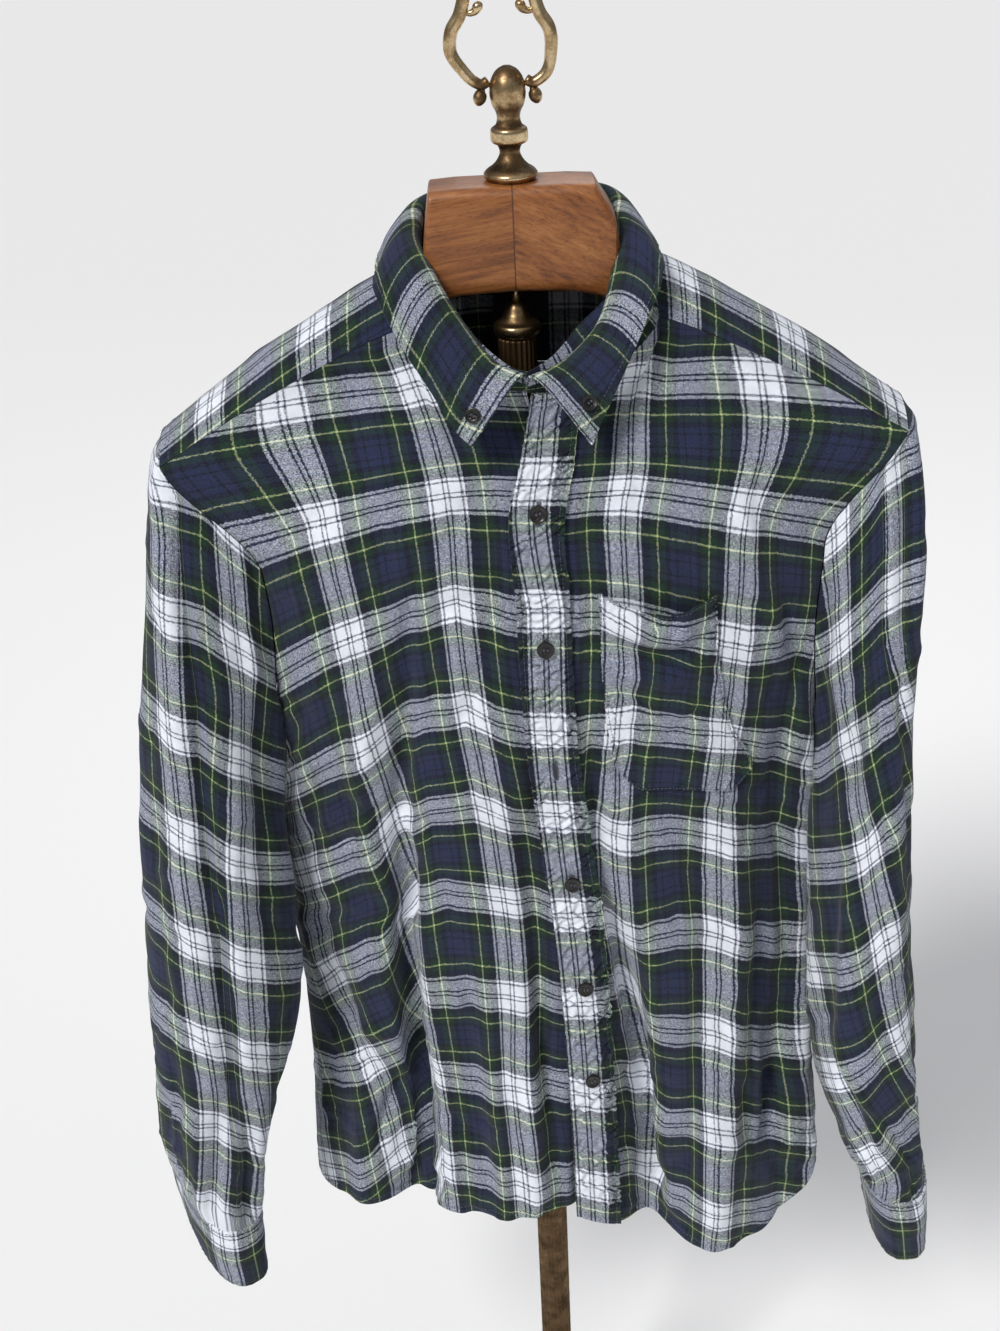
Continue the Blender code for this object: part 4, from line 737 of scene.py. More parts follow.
def pucker(run, off, seed, pitch=0.0065, reach=0.006, height=0.0006, slant=0.6):
    """Ripples that a row of stitches draws up beside it; off is the distance from the stitches."""
    phase = run / pitch + noise_line(run, seed, 0.030) * 0.8 + slant * off / pitch
    swell = 0.55 + 0.45 * noise_line(run, seed + 1, 0.021)
    return height * swell * np.sin(2 * math.pi * phase) * np.exp(-((off / reach) ** 2))


# ---- shells -----------------------------------------------------------------------------------------
def grid_normals(grid, wrap=False):
    if wrap:
        across = np.roll(grid, -1, axis=1) - np.roll(grid, 1, axis=1)
    else:
        across = np.gradient(grid, axis=1)
    return unit(np.cross(across, np.gradient(grid, axis=0)))


def face_out(grid, normals):
    return normals * np.sign(np.einsum("ijk,ijk->ij", normals, outward_of(grid)).mean())


def lay_mesh(name, verts, faces, mat, uv=None):
    mesh = bpy.data.meshes.new(name)
    mesh.from_pydata((verts + np.array([0.0, 0.0, DATUM])).tolist(), [], faces.tolist())
    if uv is not None:
        layer = mesh.uv_layers.new(name="cloth")
        layer.data.foreach_set("uv", uv.reshape(-1).astype(np.float32))
    mesh.polygons.foreach_set("use_smooth", np.ones(len(mesh.polygons), bool))
    mesh.set_sharp_from_angle(angle=math.radians(62))
    mesh.materials.append(mat)
    obj = bpy.data.objects.new(name, mesh)
    bpy.context.scene.collection.objects.link(obj)
    return obj


def shell(name, outer, normals, uv, mat, thick=SKIN, wrap=False):
    """Closed cloth between a grid of points and the same grid moved in by its thickness."""
    rows, cols = outer.shape[:2]
    count = rows * cols
    verts = np.concatenate([outer.reshape(-1, 3), (outer - normals * thick).reshape(-1, 3)])
    span = cols if wrap else cols - 1
    wide = uv.shape[1]
    flat_uv = uv.reshape(-1, 2)

    def at(r, c, layer=0):
        return (r * cols + c % cols + layer * count, r * wide + c)

    r, c = (k.ravel() for k in np.meshgrid(np.arange(rows - 1), np.arange(span), indexing="ij"))
    quads = [(at(r, c), at(r, c + 1), at(r + 1, c + 1), at(r + 1, c)),
             (at(r + 1, c, 1), at(r + 1, c + 1, 1), at(r, c + 1, 1), at(r, c, 1))]
    e = np.arange(span)
    zero = np.zeros(span, int)
    last = zero + rows - 1
    quads.append((at(zero, e, 1), at(zero, e + 1, 1), at(zero, e + 1), at(zero, e)))
    quads.append((at(last, e), at(last, e + 1), at(last, e + 1, 1), at(last, e, 1)))
    if not wrap:
        d = np.arange(rows - 1)
        zero = np.zeros(rows - 1, int)
        last = zero + cols - 1
        quads.append((at(d + 1, zero, 1), at(d, zero, 1), at(d, zero), at(d + 1, zero)))
        quads.append((at(d, last, 1), at(d + 1, last, 1), at(d + 1, last), at(d, last)))
    faces = np.concatenate([np.stack([k[0] for k in q], axis=1) for q in quads])
    spots = np.concatenate([np.stack([k[1] for k in q], axis=1) for q in quads])
    one, two, three = (outer.reshape(-1, 3)[faces[:200, k]] for k in range(3))
    lean = np.einsum("ij,ij->i", np.cross(two - one, three - two), normals.reshape(-1, 3)[faces[:200, 0]]).sum()
    if lean < 0:
        faces = faces[:, ::-1]
        spots = spots[:, ::-1]
    return lay_mesh(name, verts, faces, mat, flat_uv[spots])


def wear(obj, *nodes, slot="cloth"):
    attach(obj, "root")
    if nodes:
        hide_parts(*nodes)
    return obj


def tartan_map(s, r):
    return np.stack(np.broadcast_arrays(s, r), axis=-1)


def stripe_count(rows, u, v):
    """Which white stripe, counted from the front edge, runs through a place on a front."""
    t = read(rows, STRIPE_NAMES, v)
    one, two, three = t["first"], t["second"], t["third"]
    low = 1 - (one - u) / REPEAT
    mid = 1 + (u - one) / (two - one)
    high = 2 + (u - two) / (three - two)
    top = 3 + (u - three) / REPEAT
    return np.where(u < one, low, np.where(u < two, mid, np.where(u < three, high, top)))


def band_count(side, u, v):
    """Which white band, counted down a front, runs through a place on it."""
    table = np.array(BANDS_FRONT_LEFT if side > 0 else BANDS_FRONT_RIGHT)
    u, v = np.broadcast_arrays(u, v)
    downs = np.stack([np.interp(u, table[0], row) for row in table[1:]])
    above = np.clip((downs <= v).sum(axis=0) - 1, 0, len(downs) - 2)
    one = np.take_along_axis(downs, above[None], axis=0)[0]
    two = np.take_along_axis(downs, above[None] + 1, axis=0)[0]
    return above + (v - one) / (two - one)


def band_even(v):
    return (v - FIRST_BAND) / REPEAT


# ---- materials ----------------------------------------------------------------------------------------
class Nodes:
    """A material's node tree, built a node at a time."""

    def __init__(self, name):
        self.mat = bpy.data.materials.new(name)
        self.mat.use_nodes = True
        self.tree = self.mat.node_tree
        self.shader = self.tree.nodes["Principled BSDF"]

    def add(self, kind, inputs=None, out=0, **props):
        node = self.tree.nodes.new("ShaderNode" + kind)
        for key, value in props.items():
            setattr(node, key, value)
        for key, value in (inputs or {}).items():
            self.put(node, key, value)
        return node.outputs[out]

    def put(self, node, key, value):
        if isinstance(value, bpy.types.NodeSocket):
            self.tree.links.new(value, node.inputs[key])
        else:
            node.inputs[key].default_value = value

    def math(self, operation, *values):
        return self.add("Math", dict(enumerate(values)), operation=operation)

    def mix(self, share, one, two, blend="MIX"):
        node = self.tree.nodes.new("ShaderNodeMix")
        node.data_type = "RGBA"
        node.blend_type = blend
        for key, value in ((0, share), (6, one), (7, two)):
            self.put(node, key, value)
        return node.outputs[2]

    def ramp(self, value, stops, interpolation="LINEAR"):
        node = self.tree.nodes.new("ShaderNodeValToRGB")
        node.color_ramp.interpolation = interpolation
        slots = node.color_ramp.elements
        while len(slots) < len(stops):
            slots.new(0.5)
        for slot, (place, _) in zip(slots, stops):
            slot.position = place
        for slot, (place, colour) in zip(slots, stops):
            slot.color = (*colour, 1.0)
        self.put(node, 0, value)
        return node.outputs[0]

    def noise(self, vector, scale, detail=2.0, rough=0.5):
        return self.add("TexNoise", {"Vector": vector, "Scale": scale, "Detail": detail, "Roughness": rough})

    def bump(self, height, strength, distance, normal=None):
        inputs = {"Height": height, "Strength": strength, "Distance": distance}
        if normal is not None:
            inputs["Normal"] = normal
        return self.add("Bump", inputs)

    def finish(self, **values):
        for key, value in values.items():
            self.put(self.shader, key.replace("_", " "), value)
        return self.mat


def grey(v):
    return (v, v, v)


# yarn colours; two yarns lying together are mixed by the roots of their colours, then squared
NAVY = (0.0150, 0.0215, 0.0570)
BLACK = (0.0052, 0.0072, 0.0140)
GREEN = (0.0090, 0.0290, 0.0130)
YELLOW = (0.560, 0.620, 0.290)
WHITE = (0.770, 0.800, 0.865)
LINE = (0.0140, 0.0190, 0.0420)
# the sett, from the middle of a white band out to the middle of a navy block, in repeats
SETT_NAMES = "warp weft colour"
SETT = (
    (0.000, 0.000, WHITE),
    (0.010, 0.012, LINE),
    (0.024, 0.028, WHITE),
    (0.111, 0.128, LINE),
    (0.127, 0.147, WHITE),
    (0.148, 0.172, BLACK),
    (0.218, 0.235, GREEN),
    (0.277, 0.288, YELLOW),
    (0.289, 0.301, GREEN),
    (0.345, 0.355, BLACK),
    (0.385, 0.396, NAVY),
    (0.432, 0.438, BLACK),
    (0.446, 0.452, NAVY),
)


def tartan(name):
    n = Nodes(name)
    uv = n.add("UVMap", uv_map="cloth")
    place = n.add("VectorMath", {0: uv, 1: (REPEAT, REPEAT, 1.0)}, operation="MULTIPLY")
    split = n.tree.nodes.new("ShaderNodeSeparateXYZ")
    n.put(split, 0, uv)
    nap = n.noise(place, 620.0, 3.0, 0.7)
    fray = n.noise(place, 950.0, 2.0, 0.7)
    fuzz = n.math("MULTIPLY", n.math("SUBTRACT", n.math("ADD", nap, fray), 1.0), 0.026)
    colours = []
    for k, name_k in ((0, "warp"), (1, "weft")):
        away = n.math("PINGPONG", n.math("ADD", split.outputs[k], fuzz), 0.5)
        stops = [(2 * named(SETT_NAMES, row)[name_k], tuple(math.sqrt(c) for c in row[2])) for row in SETT]
        colours.append(n.ramp(n.math("MULTIPLY", away, 2.0), stops, "CONSTANT"))
    metric = n.tree.nodes.new("ShaderNodeSeparateXYZ")
    n.put(metric, 0, place)
    x, y = metric.outputs[0], metric.outputs[1]
    rib = n.math("SINE", n.math("MULTIPLY", n.math("ADD", x, y), 2 * math.pi / 0.00105))
    yarn = n.noise(place, 1250.0, 2.0, 0.6)
    clump = n.noise(place, 480.0, 2.0, 0.6)
    show = n.math("ADD", 0.5, n.math("MULTIPLY", rib, 0.15))
    show = n.math("ADD", show, n.math("MULTIPLY", n.math("SUBTRACT", yarn, 0.5), 1.7))
    show = n.math("ADD", show, n.math("MULTIPLY", n.math("SUBTRACT", clump, 0.5), 0.7))
    colour = n.mix(show, colours[0], colours[1])
    colour = n.mix(1.0, colour, colour, "MULTIPLY")
    mottle = n.noise(place, 75.0, 3.0, 0.6)
    value = n.math("MULTIPLY_ADD", mottle, 0.34, 0.83)
    fleck = n.math("MULTIPLY_ADD", nap, 0.30, 0.85)
    colour = n.mix(1.0, colour, n.add("CombineColor", {0: n.math("MULTIPLY", value, fleck),
                                                      1: n.math("MULTIPLY", value, fleck),
                                                      2: n.math("MULTIPLY", value, fleck)}), "MULTIPLY")
    haze = n.math("MULTIPLY", n.math("POWER", fray, 3.0), 0.14)
    colour = n.mix(haze, colour, (0.38, 0.42, 0.56, 1.0))
    height = n.math("ADD", n.math("MULTIPLY", rib, 0.35), n.math("MULTIPLY", yarn, 1.0))
    fine = n.bump(height, 0.32, 0.0005)
    soft = n.bump(n.noise(place, 160.0, 2.0, 0.5), 0.20, 0.0012, fine)
    return n.finish(Base_Color=colour, Roughness=0.93, Normal=soft, Sheen_Weight=0.09,
                    Sheen_Roughness=0.5, Specular_IOR_Level=0.18)


def thread_material():
    n = Nodes("thread")
    spot = n.add("TexCoord", out=3)
    twist = n.noise(spot, 2600.0)
    colour = n.ramp(twist, ((0.3, (0.030, 0.038, 0.060)), (0.7, (0.110, 0.125, 0.160))))
    return n.finish(Base_Color=colour, Roughness=0.7, Sheen_Weight=0.15, Normal=n.bump(twist, 0.4, 0.0002))


def horn_material():
    n = Nodes("horn")
    spot = n.add("TexCoord", out=3)
    streak = n.add("Mapping", {"Vector": spot, "Scale": (1.0, 0.35, 1.0)})
    cloud = n.noise(streak, 260.0, 4.0, 0.6)
    colour = n.ramp(cloud, ((0.30, (0.006, 0.005, 0.005)), (0.55, (0.013, 0.011, 0.010)),
                            (0.75, (0.048, 0.040, 0.034))))
    rough = n.math("MULTIPLY_ADD", cloud, 0.15, 0.30)
    return n.finish(Base_Color=colour, Roughness=rough, Specular_IOR_Level=0.38, Coat_Weight=0.10,
                    Normal=n.bump(cloud, 0.08, 0.0004))


def wood_material():
    n = Nodes("wood")
    spot = n.add("TexCoord", out=3)
    side = n.math("GREATER_THAN", n.add("SeparateXYZ", {0: spot}), 0.0002)
    left = n.add("Mapping", {"Vector": spot, "Rotation": (0.0, 0.14, 0.0), "Location": (0.02, 0.0, 0.4)})
    right = n.add("Mapping", {"Vector": spot, "Rotation": (0.0, -0.42, 0.2), "Location": (0.3, 0.1, 0.0)})
    way = n.add("Mix", {0: side, 4: left, 5: right}, out=1, data_type="VECTOR")
    broad = n.noise(n.add("Mapping", {"Vector": way, "Scale": (9.0, 60.0, 60.0)}), 1.0, 3.0, 0.55)
    grain = n.noise(n.add("Mapping", {"Vector": way, "Scale": (26.0, 420.0, 420.0)}), 1.0, 4.0, 0.6)
    pores = n.noise(n.add("Mapping", {"Vector": way, "Scale": (190.0, 1500.0, 1500.0)}), 1.0, 2.0, 0.5)
    tone = n.math("ADD", n.math("MULTIPLY", broad, 0.55), n.math("MULTIPLY", grain, 0.60))
    tone = n.math("SUBTRACT", tone, n.math("MULTIPLY", n.math("GREATER_THAN", pores, 0.60), 0.10))
    colour = n.ramp(tone, ((0.34, (0.066, 0.019, 0.005)), (0.48, (0.175, 0.056, 0.013)),
                           (0.62, (0.290, 0.103, 0.026)), (0.82, (0.430, 0.182, 0.058))))
    joint = n.math("LESS_THAN", n.math("ABSOLUTE", n.add("SeparateXYZ", {0: spot})), 0.00045)
    colour = n.mix(n.math("MULTIPLY", joint, 0.75), colour, (0.030, 0.010, 0.005, 1.0))
    rough = n.math("MULTIPLY_ADD", grain, 0.25, 0.30)
    height = n.math("ADD", n.math("MULTIPLY", grain, 1.0), n.math("MULTIPLY", pores, 0.5))
    return n.finish(Base_Color=colour, Roughness=rough, Coat_Weight=0.12, Coat_Roughness=0.3,
                    Normal=n.bump(height, 0.14, 0.0005))


def brass_material(name="brass", age=0.0):
    n = Nodes(name)
    spot = n.add("TexCoord", out=3)
    cloud = n.noise(spot, 85.0, 5.0, 0.62)
    speck = n.noise(spot, 620.0, 3.0, 0.7)
    deep = n.add("Attribute", attribute_name="crevice", out=2)
    dirt = n.math("ADD", n.math("MULTIPLY", cloud, 0.70), n.math("MULTIPLY", speck, 0.30))
    dirt = n.math("ADD", n.math("ADD", dirt, age), n.math("MULTIPLY", deep, 0.55))
    colour = n.ramp(dirt, ((0.38, (0.740, 0.580, 0.350)), (0.52, (0.480, 0.340, 0.180)),
                           (0.68, (0.180, 0.112, 0.055)), (1.0, (0.040, 0.026, 0.014))))
    rough = n.ramp(dirt, ((0.40, grey(0.20)), (0.62, grey(0.34)), (0.90, grey(0.65))))
    return n.finish(Base_Color=colour, Metallic=1.0, Roughness=rough, Normal=n.bump(speck, 0.10, 0.0006))


def label_material():
    n = Nodes("label_weave")
    spot = n.add("TexCoord", out=3)
    weave = n.noise(spot, 1400.0, 2.0)
    colour = n.ramp(weave, ((0.3, (0.010, 0.011, 0.014)), (0.7, (0.030, 0.032, 0.038))))
    return n.finish(Base_Color=colour, Roughness=0.75, Sheen_Weight=0.2, Normal=n.bump(weave, 0.3, 0.0003))


FLANNEL = tartan("flannel")
THREAD = thread_material()
HORN = horn_material()
WOOD = wood_material()
BRASS = brass_material()
AGED = brass_material("aged_brass", 0.17)
WOVEN = label_material()

ANATOMY = {}               # each cloth's grid, normals and cloth coordinates, for what lies on it


def cloth_piece(name, node, grid, normals, u, v, s, r, wrap=False, thick=SKIN):
    """Keep a cloth's grid, make its shell, hang it on the root body and hide the solid it was cut from."""
    ANATOMY[name] = (grid, normals, u, v)
    obj = shell(name, grid, normals, tartan_map(s, r), FLANNEL, thick, wrap)
    wear(obj, node)
    return obj


# ---- fronts, placket and pocket -------------------------------------------------------------------------
def front_grid(side, rows=230):
    a = np.concatenate([np.linspace(0, 0.10, 13)[:-1], np.linspace(0.10, 1.0, 96)])
    in_neck = a <= NECK_SHARE + 1e-9
    along = side * neck_along(a)
    t = np.clip((a - NECK_SHARE) / (1 - NECK_SHARE), 0, 1)
    seam = yoke_point(*front_seam(side, t)) + np.array([0.0, 0.0, -1.8 * SEAM])
    border = np.where(in_neck[:, None], neck_point(along), seam)
    guess = TOP - border[:, 2]
    for _ in range(12):
        guess = np.clip(guess + (front_point(side, a, guess)[0][:, 2] - border[:, 2]), 0.03, 0.2)
    hem = read(HEM_LEFT if side > 0 else HEM_RIGHT, HEM_NAMES, a)["down"]
    r = np.linspace(0, 1, rows)[:, None]
    down = guess + (hem - guess) * r
    grid, run = front_point(side, a[None, :], down)
    fade = 1 - ease(down, guess, guess + 0.07)
    return grid + (border - grid[0])[None] * fade[..., None], a[None, :] + 0 * down, run, down, hem, guess


def waist(side, down):
    """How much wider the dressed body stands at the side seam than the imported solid."""
    if side > 0:
        return 0.0055 * ease(down, 0.30, 0.44) * (1 - ease(down, 0.58, 0.70))
    return 0.0075 * ease(down, 0.22, 0.34) * (1 - ease(down, 0.46, 0.62))


def build_front(side):
    grid, a, u, v, hem, top = front_grid(side)
    out = grid_normals(grid) * -side
    rows = CREASES_LEFT if side > 0 else CREASES_RIGHT
    relief = 1.3 * crease(rows, u, v)
    relief = relief + wrinkles(u, v, 11 + side, 300, 0.0017)
    relief = relief + pucker(u + v, hem - v - 0.006, 31 + side, 0.0080, 0.006, 0.0005)
    relief = relief - 0.0006 * np.exp(-(((hem - v - 0.0065) / 0.0011) ** 2))
    relief = relief + pucker(u, v - top - 0.003, 35 + side, 0.0075, 0.005, 0.0004)
    free = ease(v, top + 0.001, top + 0.012) * (1 - ease(a, 0.975, 1.0))
    if side > 0:
        free = free * ease(a, 0.10, 0.13)
    grid = grid + out * (relief * free)[..., None]
    grid[..., 0] += side * waist(side, v) * ease(a, 0.70, 1.0)
    out = grid_normals(grid) * -side
    s = stripe_count(STRIPES_LEFT if side > 0 else STRIPES_RIGHT, u, v)
    name, node = ("front_left_cloth", "front_left") if side > 0 else ("front_right_cloth", "front_right")
    cloth_piece(name, node, grid, out, u, v, s, band_count(side, u, v))


# where the white stripe runs on the placket, down and in from its edge, and where the white bands cross it
PLACKET = np.array(((0.115, 0.0117), (0.199, 0.0181), (0.288, 0.0159), (0.351, 0.0138), (0.436, 0.0117),
                    (0.60, 0.0125)))
PLACKET_BLOCKS = (0.030, 0.1147, 0.1991, 0.2882, 0.3514, 0.4364, 0.515, 0.600, 0.690, 0.775)


def build_placket():
    grid, out, u, v = ANATOMY["front_left_cloth"]
    cols = 13
    fine = np.linspace(0, cols - 1, 33)
    low = np.clip(fine.astype(int), 0, cols - 2)
    t = (fine - low)

    def wider(array):
        w = t[None, :, None] if array.ndim == 3 else t[None, :]
        return array[:, low] * (1 - w) + array[:, low + 1] * w

    rows = np.linspace(0, grid.shape[0] - 1, 400)
    lowr = np.clip(rows.astype(int), 0, grid.shape[0] - 2)
    tr = rows - lowr

    def taller(array):
        w = tr[:, None, None] if array.ndim == 3 else tr[:, None]
        return array[lowr] * (1 - w) + array[lowr + 1] * w

    base, normal, u, v = (taller(wider(k)) for k in (grid, out, u, v))
    normal = unit(normal)
    left = u - 0.0035
    right = BAND - 0.0035 - u
    ripple = pucker(v, left, 51, 0.0070, 0.0090, 0.0022, 0.9) + pucker(v, right, 53, 0.0066, 0.0090, 0.0022, -0.9)
    phase = v / 0.0078 + 0.55 * (u - 0.017) / 0.0078 + 0.9 * noise_line(v, 57, 0.05) + 0.35 * noise_line(u, 58, 0.02)
    ladder = 0.0017 * (0.6 + 0.4 * noise_line(v + u, 59, 0.035)) * np.sin(2 * math.pi * phase)
    middle = ease(u, 0.004, 0.010) * (1 - ease(u, BAND - 0.010, BAND - 0.004))
    quiet = 1 - ease(v, v[-1:] - 0.030, v[-1:] - 0.006)
    for down in HOLE_DOWN:
        quiet = quiet * (1 - 0.85 * np.exp(-(((v - down) / 0.010) ** 2) - ((u - 0.017) / 0.007) ** 2))
    relief = (ripple + ladder * middle) * quiet + wrinkles(u, v, 61, 120, 0.0007, 0.7)
    relief = relief - 0.0007 * (np.exp(-((left / 0.0008) ** 2)) + np.exp(-((right / 0.0008) ** 2)))
    for down in BUTTON_DOWN:
        far = np.hypot(u - 0.017, v - down)
        relief = relief - 0.0008 * np.exp(-((far / 0.008) ** 2))
    lift = SEAM + 0.0008 + SKIN + 0.0015
    outer = base + normal * (lift + np.clip(relief, -0.0015, 0.0030))[..., None]
    facing = grid_normals(outer)
    facing = facing * np.sign(np.einsum("ijk,ijk->ij", facing, normal).mean())
    s = (u - np.interp(v, PLACKET[:, 0], PLACKET[:, 1])) / REPEAT
    r = np.interp(v, PLACKET_BLOCKS, np.arange(-1.0, 9.0))
    cloth_piece("placket_cloth", "placket", outer, facing, u, v, s, r,
                thick=0.0011)


POCKET_TOP = 0.188


def pocket_bottom(c):
    corner = np.clip(np.minimum(c, 1 - c) / 0.15, 0, 1)
    return 0.332 - 0.017 * (1 - corner)


def front_at(u_share, v, side=1):
    """Surface of the dressed front for places given as shares of its cloth and lengths down it."""
    grid, out, u, down = ANATOMY["front_left_cloth" if side > 0 else "front_right_cloth"]
    a = np.concatenate([np.linspace(0, 0.10, 13)[:-1], np.linspace(0.10, 1.0, 96)])
    col = np.interp(u_share, a, np.arange(len(a)))
    c0 = np.clip(col.astype(int), 0, len(a) - 2)
    tc = col - c0
    top = down[0][c0] * (1 - tc) + down[0][c0 + 1] * tc
    low = down[-1][c0] * (1 - tc) + down[-1][c0 + 1] * tc
    row = np.clip((v - top) / (low - top), 0, 1) * (grid.shape[0] - 1)
    r0 = np.clip(row.astype(int), 0, grid.shape[0] - 2)
    tr = row - r0

    def blend(array):
        w = (tc[..., None], tr[..., None]) if array.ndim == 3 else (tc, tr)
        up = array[r0, c0] * (1 - w[0]) + array[r0, c0 + 1] * w[0]
        dn = array[r0 + 1, c0] * (1 - w[0]) + array[r0 + 1, c0 + 1] * w[0]
        return up * (1 - w[1]) + dn * w[1]

    return blend(grid), unit(blend(out)), blend(u)


def build_pocket():
    c = np.linspace(0, 1, 90)[None, :]
    r = np.linspace(0, 1, 100)[:, None]
    v = POCKET_TOP + (pocket_bottom(c) - POCKET_TOP) * r
    share = 0.20 + 0.40 * c + 0 * v
    base, normal, u = front_at(share, v)
    hem = 0.036 + 0.011 * np.sin(math.pi * c) - 0.006 * c
    below = v - POCKET_TOP
    gape = 0.0105 * np.sin(math.pi * c) ** 1.1 * (1 - ease(below, 0.35 * hem, hem))
    ridge = 0.0066 * np.exp(-(((below - hem - 0.0115) / 0.0080) ** 2)) * np.sin(math.pi * c) ** 0.6
    belly = 0.0034 * np.sin(math.pi * np.clip((below - 0.030) / 0.11, 0, 1)) * np.sin(math.pi * c)
    edge = np.minimum(np.minimum(c, 1 - c) * 0.092, (1 - r) * 0.135)
    relief = gape + ridge + belly + pucker(v + u, edge - 0.0025, 71, 0.0072, 0.008, 0.0012)
    relief = relief + wrinkles(u, v, 73, 40, 0.0007) * ease(edge, 0, 0.004)
    relief = relief - 0.0005 * np.exp(-(((edge - 0.0022) / 0.0008) ** 2))
    outer = base + normal * (SEAM + 0.0020 + np.maximum(relief, -0.0008))[..., None]
    outer[..., 2] -= 0.9 * gape
    facing = grid_normals(outer)
    facing = facing * np.sign(np.einsum("ijk,ijk->ij", facing, normal).mean())
    s = stripe_count(STRIPES_LEFT, u, v) + 0.05
    cloth_piece("pocket_cloth", "pocket", outer, facing, u, v, s, band_count(1, u, v) + 0.07)


# ---- back and yoke ----------------------------------------------------------------------------------------
def build_back(rows=190, cols=128):
    a = np.linspace(-1, 1, cols)
    a = np.sign(a) * np.abs(a) ** 0.9
    border = yoke_point(*back_seam(a)) + np.array([0.0, 0.0, -1.3 * SEAM])
    guess = TOP - border[:, 2]
    for _ in range(12):
        guess = np.clip(guess + (back_point(a, guess)[0][:, 2] - border[:, 2]), 0.05, 0.22)
    hem = read(HEM_BACK, HEM_NAMES, a)["down"]
    r = np.linspace(0, 1, rows)[:, None]
    v = guess + (hem - guess) * r
    grid, u = back_point(a[None, :], v)
    fade = 1 - ease(v, guess, guess + 0.07)
    grid = grid + (border - grid[0])[None] * fade[..., None]
    out = grid_normals(grid)
    relief = crease(CREASES_BACK, u, v) + wrinkles(u, v, 17, 320, 0.0013)
    relief = relief + pucker(u + v, hem - v - 0.006, 33, 0.0080, 0.006, 0.0005)
    relief = relief - 0.0006 * np.exp(-(((hem - v - 0.0065) / 0.0011) ** 2))
    edge = np.abs(a)[None, :] + 0 * v
    grid = grid + out * (relief * ease(v, guess + 0.001, guess + 0.012) * (1 - ease(edge, 0.975, 1.0)))[..., None]
    grid[..., 0] += np.where(a > 0, waist(1, v), -waist(-1, v)) * ease(edge, 0.70, 1.0)
    cloth_piece("back_cloth", "back", grid, grid_normals(grid), u, v, u / REPEAT, band_even(v))


def yoke_flat(rows, cols):
    """Flat places on the yoke from the neckline out to its seams."""
    t = np.linspace(-1, 1, cols)
    inner = np.stack(neck_flat(t), axis=-1)
    k = (t + 1) * 12
    outer = np.empty((cols, 2))
    for i, place in enumerate(k):
        if place < 4:
            outer[i] = (-SHOULDER, -0.033 + 0.108 * place / 4)
        elif place <= 20:
            outer[i] = back_seam((place - 12) / 8)
        else:
            outer[i] = (SHOULDER, 0.075 - 0.108 * (place - 20) / 4)
    share = np.linspace(0, 1, rows)[:, None, None]
    return inner[None] + (outer - inner)[None] * share


YOKE_BLOCKS = (-0.270, -0.202, -0.134, -0.054, 0.027, 0.095, 0.163, 0.231)


def build_yoke():
    flat = yoke_flat(52, 241)
    grid = yoke_point(flat[..., 0], flat[..., 1])
    out = grid_normals(grid)
    out = out * np.sign(out[..., 2].mean())
    edge = ease(np.linspace(0, 1, 52), 0.0, 0.06)[:, None] * (1 - ease(np.linspace(0, 1, 52), 0.95, 1.0))[:, None]
    ends = ease(1 - np.abs(np.linspace(-1, 1, 241)), 0.0, 0.03)[None, :]
    relief = crease(CREASES_YOKE, flat[..., 0], flat[..., 1]) + wrinkles(flat[..., 0], flat[..., 1], 19, 110, 0.0006)
    ahead = np.abs(flat[..., 1] + 0.045)
    relief = relief + pucker(flat[..., 0], ahead - 0.006, 81, 0.0080, 0.005, 0.0004)
    grid = grid + out * (np.clip(relief, -0.0003, 0.01) * edge * ends)[..., None]
    out = grid_normals(grid)
    out = out * np.sign(out[..., 2].mean())
    s = (flat[..., 1] + 0.012) / REPEAT
    r = np.interp(flat[..., 0], YOKE_BLOCKS, np.arange(-4.0, 4.0))
    cloth_piece("yoke_cloth", "yoke", grid, out, flat[..., 0], flat[..., 1], r, s)


# ---- sleeves and cuffs --------------------------------------------------------------------------------------
def armhole_loop(side):
    """The armhole seam, from the underarm up the front, over the shoulder and down the back."""
    grid, _, _, v = ANATOMY["front_left_cloth" if side > 0 else "front_right_cloth"]
    stop = int(np.argmin(np.abs(v[:, -1] - ARM_BOTTOM)))
    up_front = grid[:stop + 1, -1][::-1]
    over = yoke_point(side * SHOULDER + np.zeros(9), -0.033 + 0.108 * np.linspace(0.1, 0.9, 9))
    grid, _, _, v = ANATOMY["back_cloth"]
    col = -1 if side > 0 else 0
    stop = int(np.argmin(np.abs(v[:, col] - ARM_BOTTOM)))
    loop = np.concatenate([up_front, over, grid[:stop, col]])
    loop[:, 0] += side * 0.0008
    return loop


def even_loop(loop, count):
    """The same closed line with its points evenly spaced."""
    closed = np.concatenate([loop, loop[:1]])
    run = np.concatenate([[0], np.cumsum(np.linalg.norm(np.diff(closed, axis=0), axis=1))])
    at = np.linspace(0, run[-1], count, endpoint=False)
    return np.stack([np.interp(at, run, closed[:, k]) for k in range(3)], axis=-1)


def ring_lengths(grid):
    """Level distance round each ring, from the front fold (a quarter of the way) towards the outside."""
    wide = np.concatenate([grid, grid[:, :1]], axis=1)[..., :2]
    run = np.cumsum(np.linalg.norm(np.diff(wide, axis=1), axis=2), axis=1)
    run = np.concatenate([np.zeros((len(grid), 1)), run], axis=1)
    start = grid.shape[1] // 4
    return run - run[:, start:start + 1]


